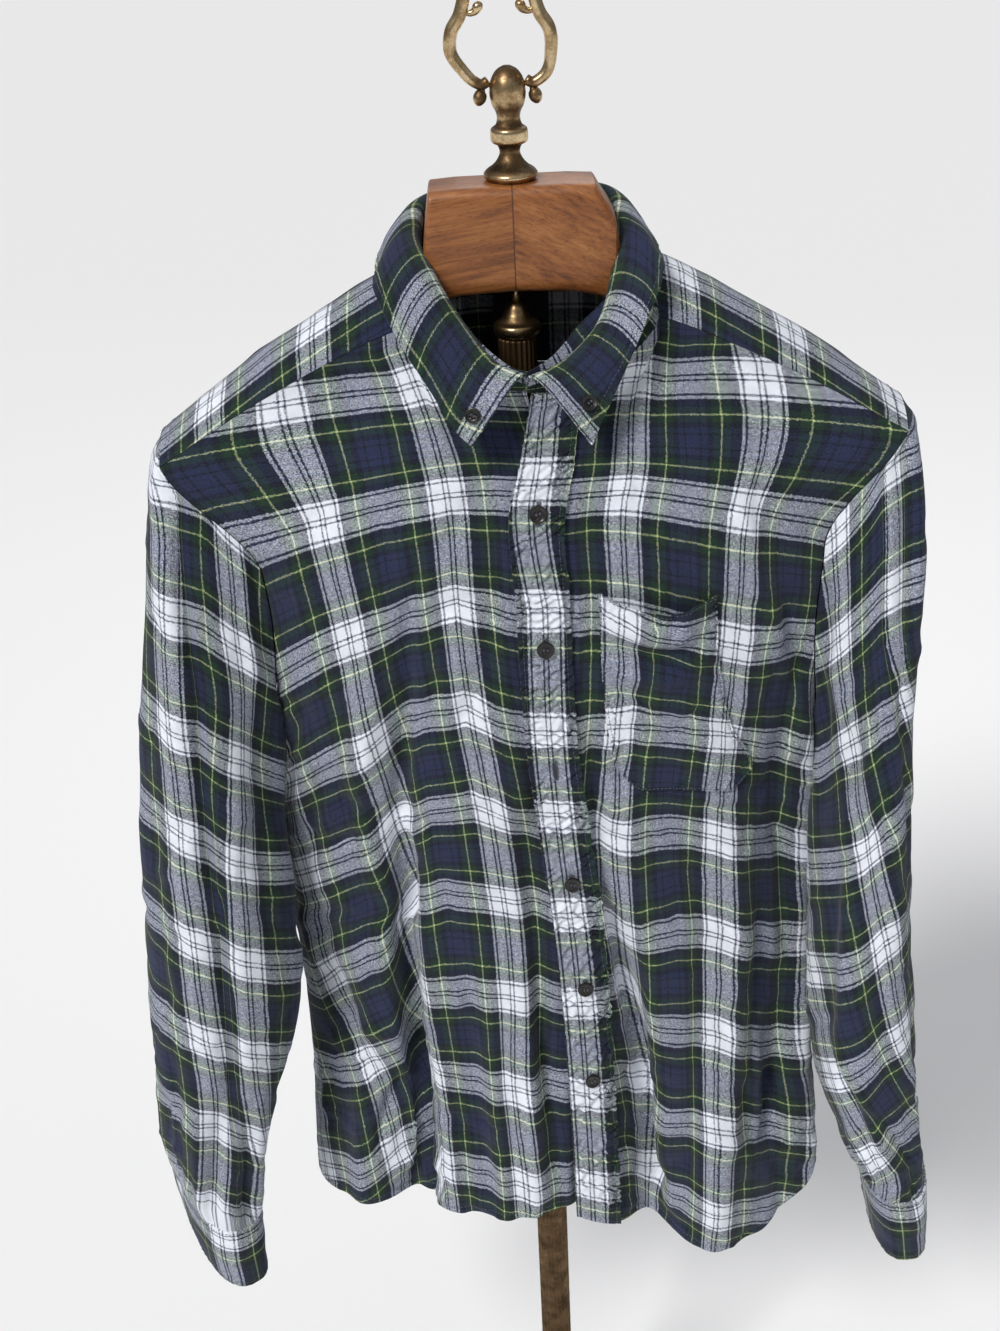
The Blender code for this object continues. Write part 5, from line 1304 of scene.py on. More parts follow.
def round_sleeve(grid, side):
    """Angle and level distance round a sleeve from its front, towards the outside, at every place of its grid."""
    wide = np.concatenate([grid, grid[:, :1]], axis=1)
    z = wide[..., 2]
    levels = np.linspace(0.375, 0.955, 30)
    rows = []
    for level in levels:
        near = wide[np.abs(z - level) < 0.012]
        out = side * near[:, 0]
        rows.append((level, out.max(), (out.max() - out.min()) / 2, near[:, 1].min(), near[:, 1].max()))
    rows = np.array(rows)
    rows[levels > 0.700, 2] = rows[levels <= 0.700, 2][-1]
    far, half, ahead, behind = (np.interp(z, levels, rows[:, k]) for k in (1, 2, 3, 4))
    deep = (behind - ahead) / 2
    angle = np.arctan2((side * wide[..., 0] - far + half) / half, (ahead + deep - wide[..., 1]) / deep)
    angle = np.unwrap(angle, axis=1)
    total = 0 * angle
    for share in np.linspace(0, 1, 25)[:-1] + 0.02:
        total = total + np.hypot(half * np.cos(share * angle), deep * np.sin(share * angle))
    return angle, total * angle / 24


SLEEVE_PARTS = (60, 22, 30, 30, 24, 18, 16)
# two white stripes on the front of each sleeve, and the creases that swallow cloth between and beyond them
ROUND_NAMES = "down inner crease outer beyond"
ROUND_RIGHT = (
    (0.100, -0.0120, 0.0260, 0.0420, 0.075),
    (0.140, -0.0160, 0.0180, 0.0290, 0.070),
    (0.200, -0.0235, 0.0080, 0.0245, 0.070),
    (0.260, -0.0330, -0.0010, 0.0205, 0.070),
    (0.320, -0.0325, -0.0060, 0.0125, 0.070),
    (0.400, -0.0328, -0.0150, 0.0052, 0.070),
    (0.480, -0.0302, -0.0165, 0.0033, 0.070),
    (0.560, -0.0335, -0.0170, -0.0030, 0.070),
    (0.640, -0.0480, -0.0260, -0.0060, 0.070),
)
ROUND_LEFT = (
    (0.100, -0.0360, 0.0000, 0.0125, 0.0150),
    (0.150, -0.0380, 0.0000, 0.0125, 0.0135),
    (0.200, -0.0385, 0.0000, 0.0125, 0.0125),
    (0.240, -0.0375, 0.0010, 0.0145, 0.0135),
    (0.290, -0.0330, 0.0080, 0.0300, 0.0300),
    (0.330, -0.0260, 0.0140, 0.0480, 0.0600),
    (0.380, -0.0161, 0.0230, 0.0620, 0.0900),
    (0.447, -0.0008, 0.0380, 0.0777, 0.1100),
    (0.540, 0.0177, 0.0560, 0.0960, 0.1300),
    (0.660, 0.0700, 0.1100, 0.1480, 0.1900),
)
# heights of the white bands at the front of each sleeve, and how far the bands drop round it
BANDS_RIGHT = (0.055, 0.129, 0.2035, 0.279, 0.348, 0.4265, 0.505, 0.583, 0.661)
BANDS_LEFT = (0.054, 0.132, 0.206, 0.290, 0.368, 0.453, 0.5456, 0.630, 0.710)
BAND_TURN = (-1.8, -1.36, -0.95, -0.69, -0.30, 0.0, 0.3, 0.6, 1.2, 1.8, 3.2, 4.8)
BAND_DROP = (0.075, 0.062, 0.040, 0.028, 0.014, 0.003, -0.003, -0.009, -0.014, -0.012, 0.010, 0.020)


def sleeve_stripes(side, u, v):
    t = read(ROUND_LEFT if side > 0 else ROUND_RIGHT, ROUND_NAMES, v)
    inner = (u - t["inner"]) / REPEAT
    outer = (u - t["outer"]) / REPEAT + 1
    far = outer + (0.30 if side > 0 else 0.0)
    share = ease(u, t["crease"] - 0.0025, t["crease"] + 0.0025)
    last = ease(u, t["beyond"] - 0.002, t["beyond"] + 0.002)
    front = inner + (outer - inner) * share
    return front + (far - front) * last


def sleeve_bands(side, angle, v):
    bands = BANDS_LEFT if side > 0 else BANDS_RIGHT
    return np.interp(v - np.interp(angle, BAND_TURN, BAND_DROP), bands, np.arange(len(bands), dtype=float))


def sleeve_grid(side, count=136):
    loop = even_loop(armhole_loop(side), count)
    rows = SLEEVE_LEFT if side > 0 else SLEEVE_RIGHT
    angle = -math.pi / 2 + 2 * math.pi * np.arange(count) / count
    keys = np.array([loop] + [ring(side, row, angle) for row in rows])
    return through(keys, SLEEVE_PARTS)


def tube_normals(grid):
    out = grid_normals(grid, wrap=True)
    lean = np.einsum("ijk,ijk->ij", out, grid - grid.mean(axis=1, keepdims=True))
    return out if lean.mean() > 0 else -out


def length_down(grid, share=0.25):
    """How far down the tube each ring is, along its front fold."""
    line = grid[:, int(grid.shape[1] * share)]
    return np.concatenate([[0], np.cumsum(np.linalg.norm(np.diff(line, axis=0), axis=1))])


def inner_side(side, u, v):
    """The sleeve's fuller inner side, where it hangs against the body."""
    if side > 0:
        return 0.0125 * np.exp(-(((u + 0.085) / 0.045) ** 2)) * ease(v, 0.27, 0.40) * (1 - ease(v, 0.60, 0.72))
    return 0.0105 * np.exp(-(((u + 0.085) / 0.045) ** 2)) * ease(v, 0.22, 0.34) * (1 - ease(v, 0.48, 0.60))


def build_sleeve(side):
    grid = sleeve_grid(side)
    out = tube_normals(grid)
    angle, u = round_sleeve(grid, side)
    v = TOP - np.concatenate([grid, grid[:, :1]], axis=1)[..., 2]
    rows = CREASES_SLEEVE_LEFT if side > 0 else CREASES_SLEEVE_RIGHT
    relief = crease(rows, u[:, :-1], v[:, :-1]) + wrinkles(u, v, 23 + side, 300, 0.0014)[:, :-1]
    low = v[-1, 0]
    gather = 0.0022 * noise_line(u[:, :-1], 29 + side, 0.016) * ease(v[:, :-1], low - 0.10, low - 0.012)
    relief = relief + gather + inner_side(side, u[:, :-1], v[:, :-1])
    index = np.arange(len(grid))[:, None] / len(grid)
    free = ease(index, 0.004, 0.04) * (1 - 0.75 * ease(v[:, :-1], low - 0.006, low))
    grid = grid + out * (relief * free)[..., None]
    out = tube_normals(grid)
    s = sleeve_stripes(side, u, v)
    r = sleeve_bands(side, angle, v)
    name, node = ("sleeve_left_cloth", "sleeve_left") if side > 0 else ("sleeve_right_cloth", "sleeve_right")
    ANATOMY[name] = (grid, out, u, v, angle)
    obj = shell(name, grid, out, tartan_map(s, r), FLANNEL, SKIN, True)
    wear(obj, node)


def build_cuff(side):
    rows = CUFF_LEFT if side > 0 else CUFF_RIGHT
    count = 120
    angle = -math.pi / 2 + 2 * math.pi * np.arange(count) / count
    keys = np.array([ring(side, row, angle) for row in rows])
    keys[0, :, 2] += 0.001
    grid = through(keys, (24, 26))
    out = tube_normals(grid)
    u = ring_lengths(grid)
    v = length_down(grid)[:, None] + 0 * u
    short = v[-1, 0]
    ripple = pucker(u, v - 0.003, 101 + side, 0.0072, 0.005, 0.0006)
    ripple = ripple + pucker(u, short - v - 0.003, 105 + side, 0.0070, 0.005, 0.0006)
    swell = 0.0010 * np.sin(math.pi * np.clip(v / short, 0, 1))
    relief = (ripple + swell + wrinkles(u, v, 107 + side, 46, 0.0006))[:, :-1]
    grid = grid + out * (relief + 0.0012)[..., None]
    out = tube_normals(grid)
    s = (u - 0.020) / REPEAT
    r = (v - 0.006) / REPEAT
    name, node = ("cuff_left_cloth", "cuff_left") if side > 0 else ("cuff_right_cloth", "cuff_right")
    ANATOMY[name] = (grid, out, u, v)
    obj = shell(name, grid, out, tartan_map(s, r), FLANNEL, 0.0014, True)
    wear(obj, node)


# ---- collar ------------------------------------------------------------------------------------------------
def build_collar():
    along = np.linspace(-1, 1, 241)
    base = neck_point(along) + np.array([0.0, 0.0, 2 * SEAM])
    t = read(STAND_TOP, STAND_NAMES, along)
    top = points(t["x"], t["y"], t["z"])
    share = np.linspace(0, 1, 20)[:, None, None]
    grid = base[None] + (top - base)[None] * share
    near_end = ease(np.abs(along), 0.93, 1.0)[None, :]
    grid[..., 0] -= np.where(along > 0, 0.0024, -0.0012) * near_end
    grid[..., 1] -= np.where(along > 0, 0.0014, 0.0) * near_end
    out = face_out(grid, grid_normals(grid))
    run = np.concatenate([[0], np.cumsum(np.linalg.norm(np.diff(top, axis=0), axis=1))])
    run = run - run[120]
    u = run[None, :] + 0 * grid[..., 0]
    v = np.linspace(0.030, 0, 20)[:, None] + 0 * u
    cloth_piece("collar_stand_cloth", "collar_stand", grid, out, u, v, u / REPEAT + 0.5, (v + 0.030) / REPEAT)
    c = read(COLLAR, COLLAR_NAMES, along)
    roll = points(c["x_roll"], c["y_roll"], c["z_roll"])
    edge = points(c["x_edge"], c["y_edge"], c["z_edge"])
    away = outward_of(roll)
    up = np.array([0.0, 0.0, 1.0])
    p0 = roll - away * 0.0022 - up * 0.0060
    p1 = roll - away * 0.0020 + up * 0.0125
    p2 = roll + (edge - roll) * 0.5 + away * 0.0075 + up * 0.0065
    t = np.linspace(0, 1, 46)[:, None, None]
    fall = (1 - t) ** 3 * p0 + 3 * (1 - t) ** 2 * t * p1 + 3 * (1 - t) * t**2 * p2 + t**3 * edge
    out = face_out(fall, grid_normals(fall))
    width = np.concatenate([np.zeros((1, 241)), np.cumsum(np.linalg.norm(np.diff(fall, axis=0), axis=2), axis=0)])
    run = np.concatenate([[0], np.cumsum(np.linalg.norm(np.diff(edge, axis=0), axis=1))])
    u = (run - run[120])[None, :] + 0 * width
    rim = width[-1][None, :] - width
    ends = (run[-1] / 2 - np.abs(u)) + 0 * width
    near = np.minimum(rim, ends)
    relief = pucker(u, rim - 0.005, 121, 0.0080, 0.006, 0.0006) - 0.0005 * np.exp(-(((near - 0.0052) / 0.0009) ** 2))
    relief = relief + wrinkles(u, width, 123, 90, 0.0007) + 0.0010 * noise_line(u, 125, 0.09) * ease(width, 0.015, 0.04)
    fall = fall + out * (CLOTH - 0.0002 + relief * ease(width, 0.008, 0.016))[..., None]
    out = face_out(fall, grid_normals(fall))
    cloth_piece("collar_cloth", "collar", fall, out, u, width, (np.abs(u) - 0.206) / 0.075, (width + 0.018) / 0.096,
                thick=0.0014)


def build_label():
    out = np.linspace(-0.014, 0.022, 20)[None, :] - MIDDLE
    across = np.linspace(0.046, 0.086, 24)[:, None]
    grid = yoke_point(out + 0 * across, across + 0 * out)
    normal = grid_normals(grid)
    normal = normal * np.sign(normal[2, 2, 1])
    outer = grid - normal * (CLOTH + 0.0010)
    flat = tartan_map(out + 0 * across, across + 0 * out)
    obj = shell("label_cloth", outer, normal, flat, WOVEN, 0.0008)
    wear(obj, "label", slot="label")


# ---- sewing ----------------------------------------------------------------------------------------------------
def sew(name, lines, pitch=0.0029, length=0.0021, radius=0.00024):
    """Rows of stitches: each line is its points and the directions that face off the cloth."""
    verts = []
    faces = []
    for path, facing in lines:
        run = np.concatenate([[0], np.cumsum(np.linalg.norm(np.diff(path, axis=0), axis=1))])
        starts = np.arange(pitch / 2, run[-1] - length, pitch)
        for start in starts if len(starts) else [0.0]:
            at = start + length * np.array([0.0, 0.18, 0.5, 0.82, 1.0])
            spine = np.stack([np.interp(at, run, path[:, k]) for k in range(3)], axis=-1)
            n = unit(np.stack([np.interp(at, run, facing[:, k]) for k in range(3)], axis=-1))
            way = unit(spine[-1] - spine[0])
            side = unit(np.cross(way, n[2]))
            lift = np.array([-0.8, 0.5, 1.0, 0.5, -0.8]) * radius
            first = len(verts)
            for k in range(5):
                fat = radius * (0.25 if k in (0, 4) else 1.0)
                centre = spine[k] + n[k] * lift[k]
                for turn in range(4):
                    angle = math.pi / 4 + turn * math.pi / 2
                    verts.append(centre + side * math.cos(angle) * fat * 1.15 + n[k] * math.sin(angle) * fat * 0.8)
            for k in range(4):
                for turn in range(4):
                    one = first + 4 * k + turn
                    two = first + 4 * k + (turn + 1) % 4
                    faces.append((one, two, two + 4, one + 4))
            faces.append((first + 3, first + 2, first + 1, first))
            faces.append((first + 16, first + 17, first + 18, first + 19))
    obj = lay_mesh(name, np.array(verts), np.array(faces), THREAD)
    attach(obj, "root")
    return obj


def line_on(name, rows=None, cols=None, lift=0.00005, at=None):
    """A line of stitches along a row or a column of a cloth's grid."""
    grid, out = ANATOMY[name][:2]
    if cols is not None:
        path, facing = grid[rows or slice(None), cols], out[rows or slice(None), cols]
    else:
        path, facing = grid[rows, at or slice(None)], out[rows, at or slice(None)]
    return path + facing * lift, facing


def build_sewing():
    lines = [line_on("placket_cloth", cols=3), line_on("placket_cloth", cols=29)]
    lines += [line_on("front_left_cloth", rows=-3, at=slice(12, None)), line_on("front_right_cloth", rows=-3)]
    lines += [line_on("back_cloth", rows=-3)]
    sew("sewing_body", lines)
    lines = [line_on("pocket_cloth", cols=2), line_on("pocket_cloth", cols=-3), line_on("pocket_cloth", rows=-2)]
    lines += [line_on("pocket_cloth", rows=1)]
    sew("sewing_pocket", lines)
    lines = [line_on("collar_cloth", rows=-5), line_on("collar_cloth", cols=3, rows=slice(16, 42)),
             line_on("collar_cloth", cols=-4, rows=slice(16, 42))]
    lines += [line_on("yoke_cloth", rows=-3)]
    sew("sewing_collar", lines)
    lines = [line_on("cuff_left_cloth", rows=2), line_on("cuff_left_cloth", rows=-4),
             line_on("cuff_right_cloth", rows=2), line_on("cuff_right_cloth", rows=-4)]
    sew("sewing_cuffs", lines)


# ---- buttons ------------------------------------------------------------------------------------------------------
def turned_mesh(name, rows, count, mat, crevice=None, flute=0.0):
    """A turned solid about the upright axis, ends closed."""
    angle = np.linspace(0, 2 * math.pi, count, endpoint=False)
    groove = 1 - flute * (0.5 + 0.5 * np.cos(angle * 24)) ** 0.6
    rings = np.array([points(r * groove * np.cos(angle), r * groove * np.sin(angle), z) for z, r in rows])
    total = len(rings)
    number = np.arange(total * count).reshape(total, count)
    nxt = np.roll(number, -1, axis=1)
    faces = [tuple(f) for f in np.stack([number[:-1], nxt[:-1], nxt[1:], number[1:]], axis=-1).reshape(-1, 4)]
    faces.append(tuple(number[0][::-1]))
    faces.append(tuple(number[-1]))
    mesh = bpy.data.meshes.new(name)
    mesh.from_pydata(rings.reshape(-1, 3).tolist(), [], [tuple(int(k) for k in f) for f in faces])
    mesh.polygons.foreach_set("use_smooth", np.ones(len(mesh.polygons), bool))
    mesh.set_sharp_from_angle(angle=math.radians(40))
    mesh.materials.append(mat)
    if crevice is not None:
        layer = mesh.attributes.new("crevice", "FLOAT", "POINT")
        layer.data.foreach_set("value", np.repeat(crevice, count).astype(np.float32))
    obj = bpy.data.objects.new(name, mesh)
    bpy.context.scene.collection.objects.link(obj)
    return obj


BUTTON_PROFILE = ((0.0002, 0.86), (0.0000, 0.90), (0.0004, 0.98), (0.0011, 1.00), (0.0018, 0.985), (0.0023, 0.93),
                  (0.0024, 0.86), (0.0022, 0.78), (0.0018, 0.70), (0.0016, 0.58), (0.0016, 0.30), (0.0016, 0.02))


def button_mesh(size):
    """One four-hole button lying flat, its holes cut through."""
    rows = [(z, r * size / 2) for z, r in BUTTON_PROFILE]
    body = turned_mesh("button_blank", rows, 48, HORN)
    hole = size * 0.105
    for x in (-1, 1):
        for y in (-1, 1):
            cut = turned_mesh("button_cutter", ((-0.002, 0.00078), (0.006, 0.00078)), 16, HORN)
            cut.location = (x * hole, y * hole, 0.0)
            modifier = body.modifiers.new("hole", "BOOLEAN")
            modifier.operation = "DIFFERENCE"
            modifier.object = cut
    bpy.context.view_layer.update()
    mesh = bpy.data.meshes.new_from_object(body.evaluated_get(bpy.context.evaluated_depsgraph_get()))
    for obj in [o for o in bpy.data.objects if o.name.startswith(("button_blank", "button_cutter"))]:
        bpy.data.objects.remove(obj, do_unlink=True)
    return mesh


def thread_cross(size):
    """Thread through the four holes, two bars over the button."""
    hole = size * 0.105
    verts = []
    faces = []
    for x in (-1, 1):
        for strand in (-0.00022, 0.00022):
            first = len(verts)
            for y, z in ((-1.0, 0.0007), (-0.92, 0.0017), (0.0, 0.0021), (0.92, 0.0017), (1.0, 0.0007)):
                for turn in range(6):
                    angle = turn * math.pi / 3
                    verts.append((x * hole + strand + 0.00024 * math.cos(angle), y * hole,
                                  z + 0.00022 * math.sin(angle)))
            for k in range(4):
                for turn in range(6):
                    one = first + 6 * k + turn
                    two = first + 6 * k + (turn + 1) % 6
                    faces.append((one, two, two + 6, one + 6))
            faces.append(tuple(first + 5 - k for k in range(6)))
            faces.append(tuple(first + 24 + k for k in range(6)))
    mesh = bpy.data.meshes.new("thread_cross")
    mesh.from_pydata(verts, [], faces)
    mesh.polygons.foreach_set("use_smooth", np.ones(len(mesh.polygons), bool))
    mesh.materials.append(THREAD)
    return mesh


def place_button(name, mesh, cross, spot, facing, spin, node=None):
    """Stand a button on the cloth, facing off it and turned by spin."""
    z = unit(np.asarray(facing, float))
    x = unit(np.cross(np.array([0.0, 0.0, 1.0]), z))
    y = np.cross(z, x)
    turn = np.array([[math.cos(spin), -math.sin(spin)], [math.sin(spin), math.cos(spin)]])
    axes = np.stack([x * turn[0, 0] + y * turn[1, 0], x * turn[0, 1] + y * turn[1, 1], z], axis=1)
    matrix = Matrix.Identity(4)
    for i in range(3):
        for j in range(3):
            matrix[i][j] = axes[i, j]
        matrix[i][3] = spot[i] + (DATUM if i == 2 else 0.0)
    for kind, data in (("", mesh), ("_thread", cross)):
        copy = data.copy()
        copy.transform(matrix)
        obj = bpy.data.objects.new(name + kind, copy)
        bpy.context.scene.collection.objects.link(obj)
        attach(obj, "root")
        if kind == "":
            if node:
                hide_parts(node)


def build_buttonhole(name, spot, facing, way, length=0.0150):
    """A worked buttonhole: close stitches all round it, and a dark sheet laid in its opening as painted shade."""
    n = unit(facing)
    along = unit(way - n * np.dot(way, n))
    side = np.cross(n, along)
    t = np.linspace(0, 2 * math.pi, 56)
    oval = spot + along * (np.cos(t) * length / 2)[:, None] + side * (np.sin(t) * 0.0011)[:, None]
    lines = []
    for k in range(56):
        out = unit(oval[k] - spot)
        out = side * np.sign(np.dot(oval[k] - spot, side) or 1.0) * 0.8 + out * 0.25
        lines.append((np.stack([oval[k] - out * 0.0002 + n * 0.0003, oval[k] + out * 0.0014 + n * 0.0003]),
                      np.stack([n, n])))
    sew(name, lines, pitch=0.0016, length=0.00135, radius=0.00020)
    # painted shade: a flat dark sheet in the label's weave stands for the shadow inside the buttonhole's opening
    painted_shade_slit = []
    for k in range(24):
        angle = 2 * math.pi * k / 24
        painted_shade_slit.append(spot + along * math.cos(angle) * length * 0.44 + side * math.sin(angle) * 0.0012 + n * 0.00055)
    painted_shade_slit.append(spot + n * 0.00030)
    faces = np.array([(k, (k + 1) % 24, 24) for k in range(24)])
    obj = lay_mesh(name + "_slit", np.array(painted_shade_slit), faces, WOVEN)
    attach(obj, "root")


def placket_place(down, u=0.0170):
    grid, out, us, vs = ANATOMY["placket_cloth"]
    col = int(np.argmin(np.abs(us[200] - u)))
    row = int(np.argmin(np.abs(vs[:, col] - down)))
    rows = slice(max(row - 8, 0), row + 9)
    cols = slice(col - 4, col + 5)
    spot = grid[rows, cols].reshape(-1, 3).mean(axis=0)
    facing = unit(out[rows, cols].reshape(-1, 3).mean(axis=0))
    return spot, facing, unit(grid[rows][-1, col] - grid[rows][0, col])


def build_buttons():
    big, small = button_mesh(0.0115), button_mesh(0.0095)
    cross, fine = thread_cross(0.0115), thread_cross(0.0095)
    for k, down in enumerate(BUTTON_DOWN):
        spot, facing, way = placket_place(down)
        facing = unit(facing + np.array([0.05, 0.0, 0.06]) * math.sin(3.0 * k))
        place_button("button_%d_horn" % (k + 1), big, cross, spot + facing * 0.0008, facing,
                     0.3 * math.sin(5.0 * k + 1), "button_%d" % (k + 1))
    for k, down in enumerate(HOLE_DOWN):
        spot, facing, way = placket_place(down)
        build_buttonhole("buttonhole_%d" % (k + 1), spot + facing * 0.0001, facing, way)
    grid, out = ANATOMY["collar_cloth"][:2]
    for side, name in ((1, "left"), (-1, "right")):
        col = 120 + side * 110
        spot, facing = grid[37, col], out[37, col]
        place_button("button_collar_%s_horn" % name, small, fine, spot + facing * 0.0004, facing, 0.5 * side,
                     "button_collar_" + name)
    for side, name in ((1, "left"), (-1, "right")):
        low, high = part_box("button_cuff_" + name)
        middle = (np.array(low) + np.array(high)) / 2 - np.array([0.0, 0.0, DATUM])
        grid, out = ANATOMY["cuff_%s_cloth" % name][:2]
        near = np.unravel_index(np.argmin(np.linalg.norm(grid - middle, axis=-1)), grid.shape[:2])
        place_button("button_cuff_%s_horn" % name, big, cross, grid[near] + out[near] * 0.0004, out[near], 0.4 * side,
                     "button_cuff_" + name)


# ---- wood and brass -------------------------------------------------------------------------------------------------
def smooth_profile(rows, count):
    """A turned profile read finely, and how deep each place lies in a hollow."""
    data = np.array(rows)
    run = np.concatenate([[0], np.cumsum(np.hypot(*np.diff(data, axis=0).T))])
    table = [(k, *row) for k, row in zip(run, data)]
    at = np.linspace(0, run[-1], count)
    fine = read(table, "run z radius", at)
    radius = np.maximum(fine["radius"], 0.0002)
    wide = np.array([radius[max(0, k - 6):k + 7].max() for k in range(count)])
    deep = np.clip((wide - radius) / 0.0045, 0, 1)
    return list(zip(fine["z"], radius)), deep


def build_turned(name, node, rows, count, rings=96, mat=BRASS):
    profile, deep = smooth_profile(rows, rings)
    obj = turned_mesh(name, [(z + DATUM, r) for z, r in profile], count, mat, deep)
    wear(obj, node, slot="brass")


def rod_mesh(x, z, radius, sides=20):
    way = unit(np.stack([np.gradient(x), np.gradient(z)], axis=-1))
    angle = np.linspace(0, 2 * math.pi, sides, endpoint=False)
    rings = []
    for k in range(len(x)):
        side = np.array([way[k, 1], 0.0, -way[k, 0]])
        shift = HANDLE_SHIFT * float(ease(z[k], 1.160, 1.176))
        centre = np.array([x[k] + shift, 0.0, z[k]])
        round_way = np.cos(angle)[:, None] * side + np.sin(angle)[:, None] * np.array([0, 1.0, 0])
        rings.append(centre + radius[k] * round_way)
    rings = np.array(rings)
    number = np.arange(rings.shape[0] * sides).reshape(-1, sides)
    nxt = np.roll(number, -1, axis=1)
    faces = [tuple(int(i) for i in f) for f in
             np.stack([number[:-1], nxt[:-1], nxt[1:], number[1:]], axis=-1).reshape(-1, 4)]
    faces.append(tuple(int(i) for i in number[0][::-1]))
    faces.append(tuple(int(i) for i in number[-1]))
    return rings.reshape(-1, 3), faces


def build_handle():
    half = np.array(HANDLE)
    path = np.concatenate([half, (half * np.array([-1, 1]))[::-1][1:]])
    step = np.concatenate([[0], np.cumsum(np.linalg.norm(np.diff(path, axis=0), axis=1))])
    at = np.linspace(0, step[-1], 150)
    fine = read([(k, *row) for k, row in zip(step, path)], "run x z", at)
    share = np.abs(np.linspace(-1, 1, 150))
    parts = [rod_mesh(fine["x"], fine["z"], 0.0031 + 0.0009 * np.sin(share * math.pi))]
    for side in (1, -1):
        for rows in (KNOB, CURL):
            run = np.arange(len(rows), dtype=float)
            fine = read([(k, *row) for k, row in zip(run, rows)], "run x z r", np.linspace(0, run[-1], 40))
            parts.append(rod_mesh(side * fine["x"], fine["z"], np.maximum(fine["r"], 0.0004)))
    verts = np.concatenate([p[0] for p in parts])
    faces = []
    first = 0
    for v, f in parts:
        faces += [tuple(k + first for k in face) for face in f]
        first += len(v)
    mesh = bpy.data.meshes.new("handle_brass")
    mesh.from_pydata((verts + np.array([0, 0, DATUM])).tolist(), [], faces)
    body = bmesh.new()
    body.from_mesh(mesh)
    bmesh.ops.recalc_face_normals(body, faces=body.faces)
    body.to_mesh(mesh)
    body.free()
    mesh.polygons.foreach_set("use_smooth", np.ones(len(mesh.polygons), bool))
    mesh.materials.append(BRASS)
    layer = mesh.attributes.new("crevice", "FLOAT", "POINT")
    inner = np.clip(1 - np.abs(np.abs(verts[:, 0]) - 0.0145) / 0.006, 0, 1) * (verts[:, 2] < 1.165)
    layer.data.foreach_set("value", (0.55 * inner).astype(np.float32))
    obj = bpy.data.objects.new("handle_brass", mesh)
    bpy.context.scene.collection.objects.link(obj)
    wear(obj, "handle", slot="brass")


def build_column():
    z = np.concatenate([[-0.0897, -0.0890], np.linspace(-0.088, 1.0005, 60), [1.0012, 1.0019]])
    r = np.concatenate([[0.0118, 0.0124], np.full(60, 0.0125), [0.0124, 0.0118]])
    deep = 0.25 + 0 * z
    obj = turned_mesh("column_brass", list(zip(z + DATUM, r)), 144, AGED, deep, flute=0.075)
    wear(obj, "column", slot="brass")


def build_hanger():
    angle = np.linspace(0, 2 * math.pi, 56, endpoint=False) + math.pi / 56
    ring_y = np.sign(np.cos(angle)) * np.abs(np.cos(angle)) ** 0.28
    ring_z = np.sign(np.sin(angle)) * np.abs(np.sin(angle)) ** 0.28
    outs = np.concatenate([np.linspace(-0.224, -0.062, 60), np.linspace(-0.061, 0.061, 100),
                           np.linspace(0.062, 0.224, 60)])
    table = np.array(HANGER)
    rings = []
    for out in outs:
        h = named(HANGER_NAMES, [np.interp(abs(out), table[:, 0], table[:, k]) for k in range(4)])
        middle = (h["top"] + h["under"]) / 2
        half_high = (h["top"] - h["under"]) / 2
        y = ring_y * h["half"] - 0.012 * (out / 0.24) ** 2
        shift = MIDDLE * (ease(-out, 0.045, 0.08) + ease(out, 0.0508, 0.0553))
        fall = (YOKE_FRONT - np.sqrt(YOKE_FRONT**2 - (ring_y * h["half"]) ** 2)) * (ring_z > 0)
        z = middle + ring_z * half_high - fall * ease(abs(out), 0.06, 0.09) + 0.0012 * ease(out, 0.09, 0.13)
        rings.append(points(shift + out, y, z))
    rings = np.array(rings)
    count = 56
    number = np.arange(rings.shape[0] * count).reshape(-1, count)
    nxt = np.roll(number, -1, axis=1)
    faces = [tuple(int(i) for i in f) for f in
             np.stack([number[:-1], nxt[:-1], nxt[1:], number[1:]], axis=-1).reshape(-1, 4)]
    faces.append(tuple(int(i) for i in number[0][::-1]))
    faces.append(tuple(int(i) for i in number[-1]))
    mesh = bpy.data.meshes.new("hanger_wood")
    mesh.from_pydata((rings.reshape(-1, 3) + np.array([0, 0, DATUM])).tolist(), [], faces)
    body = bmesh.new()
    body.from_mesh(mesh)
    bmesh.ops.recalc_face_normals(body, faces=body.faces)
    body.to_mesh(mesh)
    body.free()
    mesh.polygons.foreach_set("use_smooth", np.ones(len(mesh.polygons), bool))
    mesh.set_sharp_from_angle(angle=math.radians(34))
    mesh.materials.append(WOOD)
    obj = bpy.data.objects.new("hanger_wood", mesh)
    bpy.context.scene.collection.objects.link(obj)
    wear(obj, "hanger", slot="wood")


# ---- the room ---------------------------------------------------------------------------------------
def area_light(name, place, aim, size, power, colour=(1.0, 1.0, 1.0)):
    data = bpy.data.lights.new(name, "AREA")
    data.shape = "RECTANGLE"
    data.size, data.size_y = size
    data.energy = power
    data.color = colour
    obj = bpy.data.objects.new(name, data)
    way = unit(np.array(place) - np.array(aim))
    side = unit(np.cross(np.array([0.0, 0.0, 1.0]), way))
    up = np.cross(way, side)
    obj.matrix_world = Matrix([[side[0], up[0], way[0], place[0]], [side[1], up[1], way[1], place[1]],
                               [side[2], up[2], way[2], place[2]], [0, 0, 0, 1]])
    bpy.context.scene.collection.objects.link(obj)


def sun_light(name, toward, power, spread, colour):
    data = bpy.data.lights.new(name, "SUN")
    data.energy = power
    data.angle = math.radians(spread)
    data.color = colour
    obj = bpy.data.objects.new(name, data)
    obj.rotation_euler = Vector(toward).to_track_quat("Z", "Y").to_euler()
    bpy.context.scene.collection.objects.link(obj)


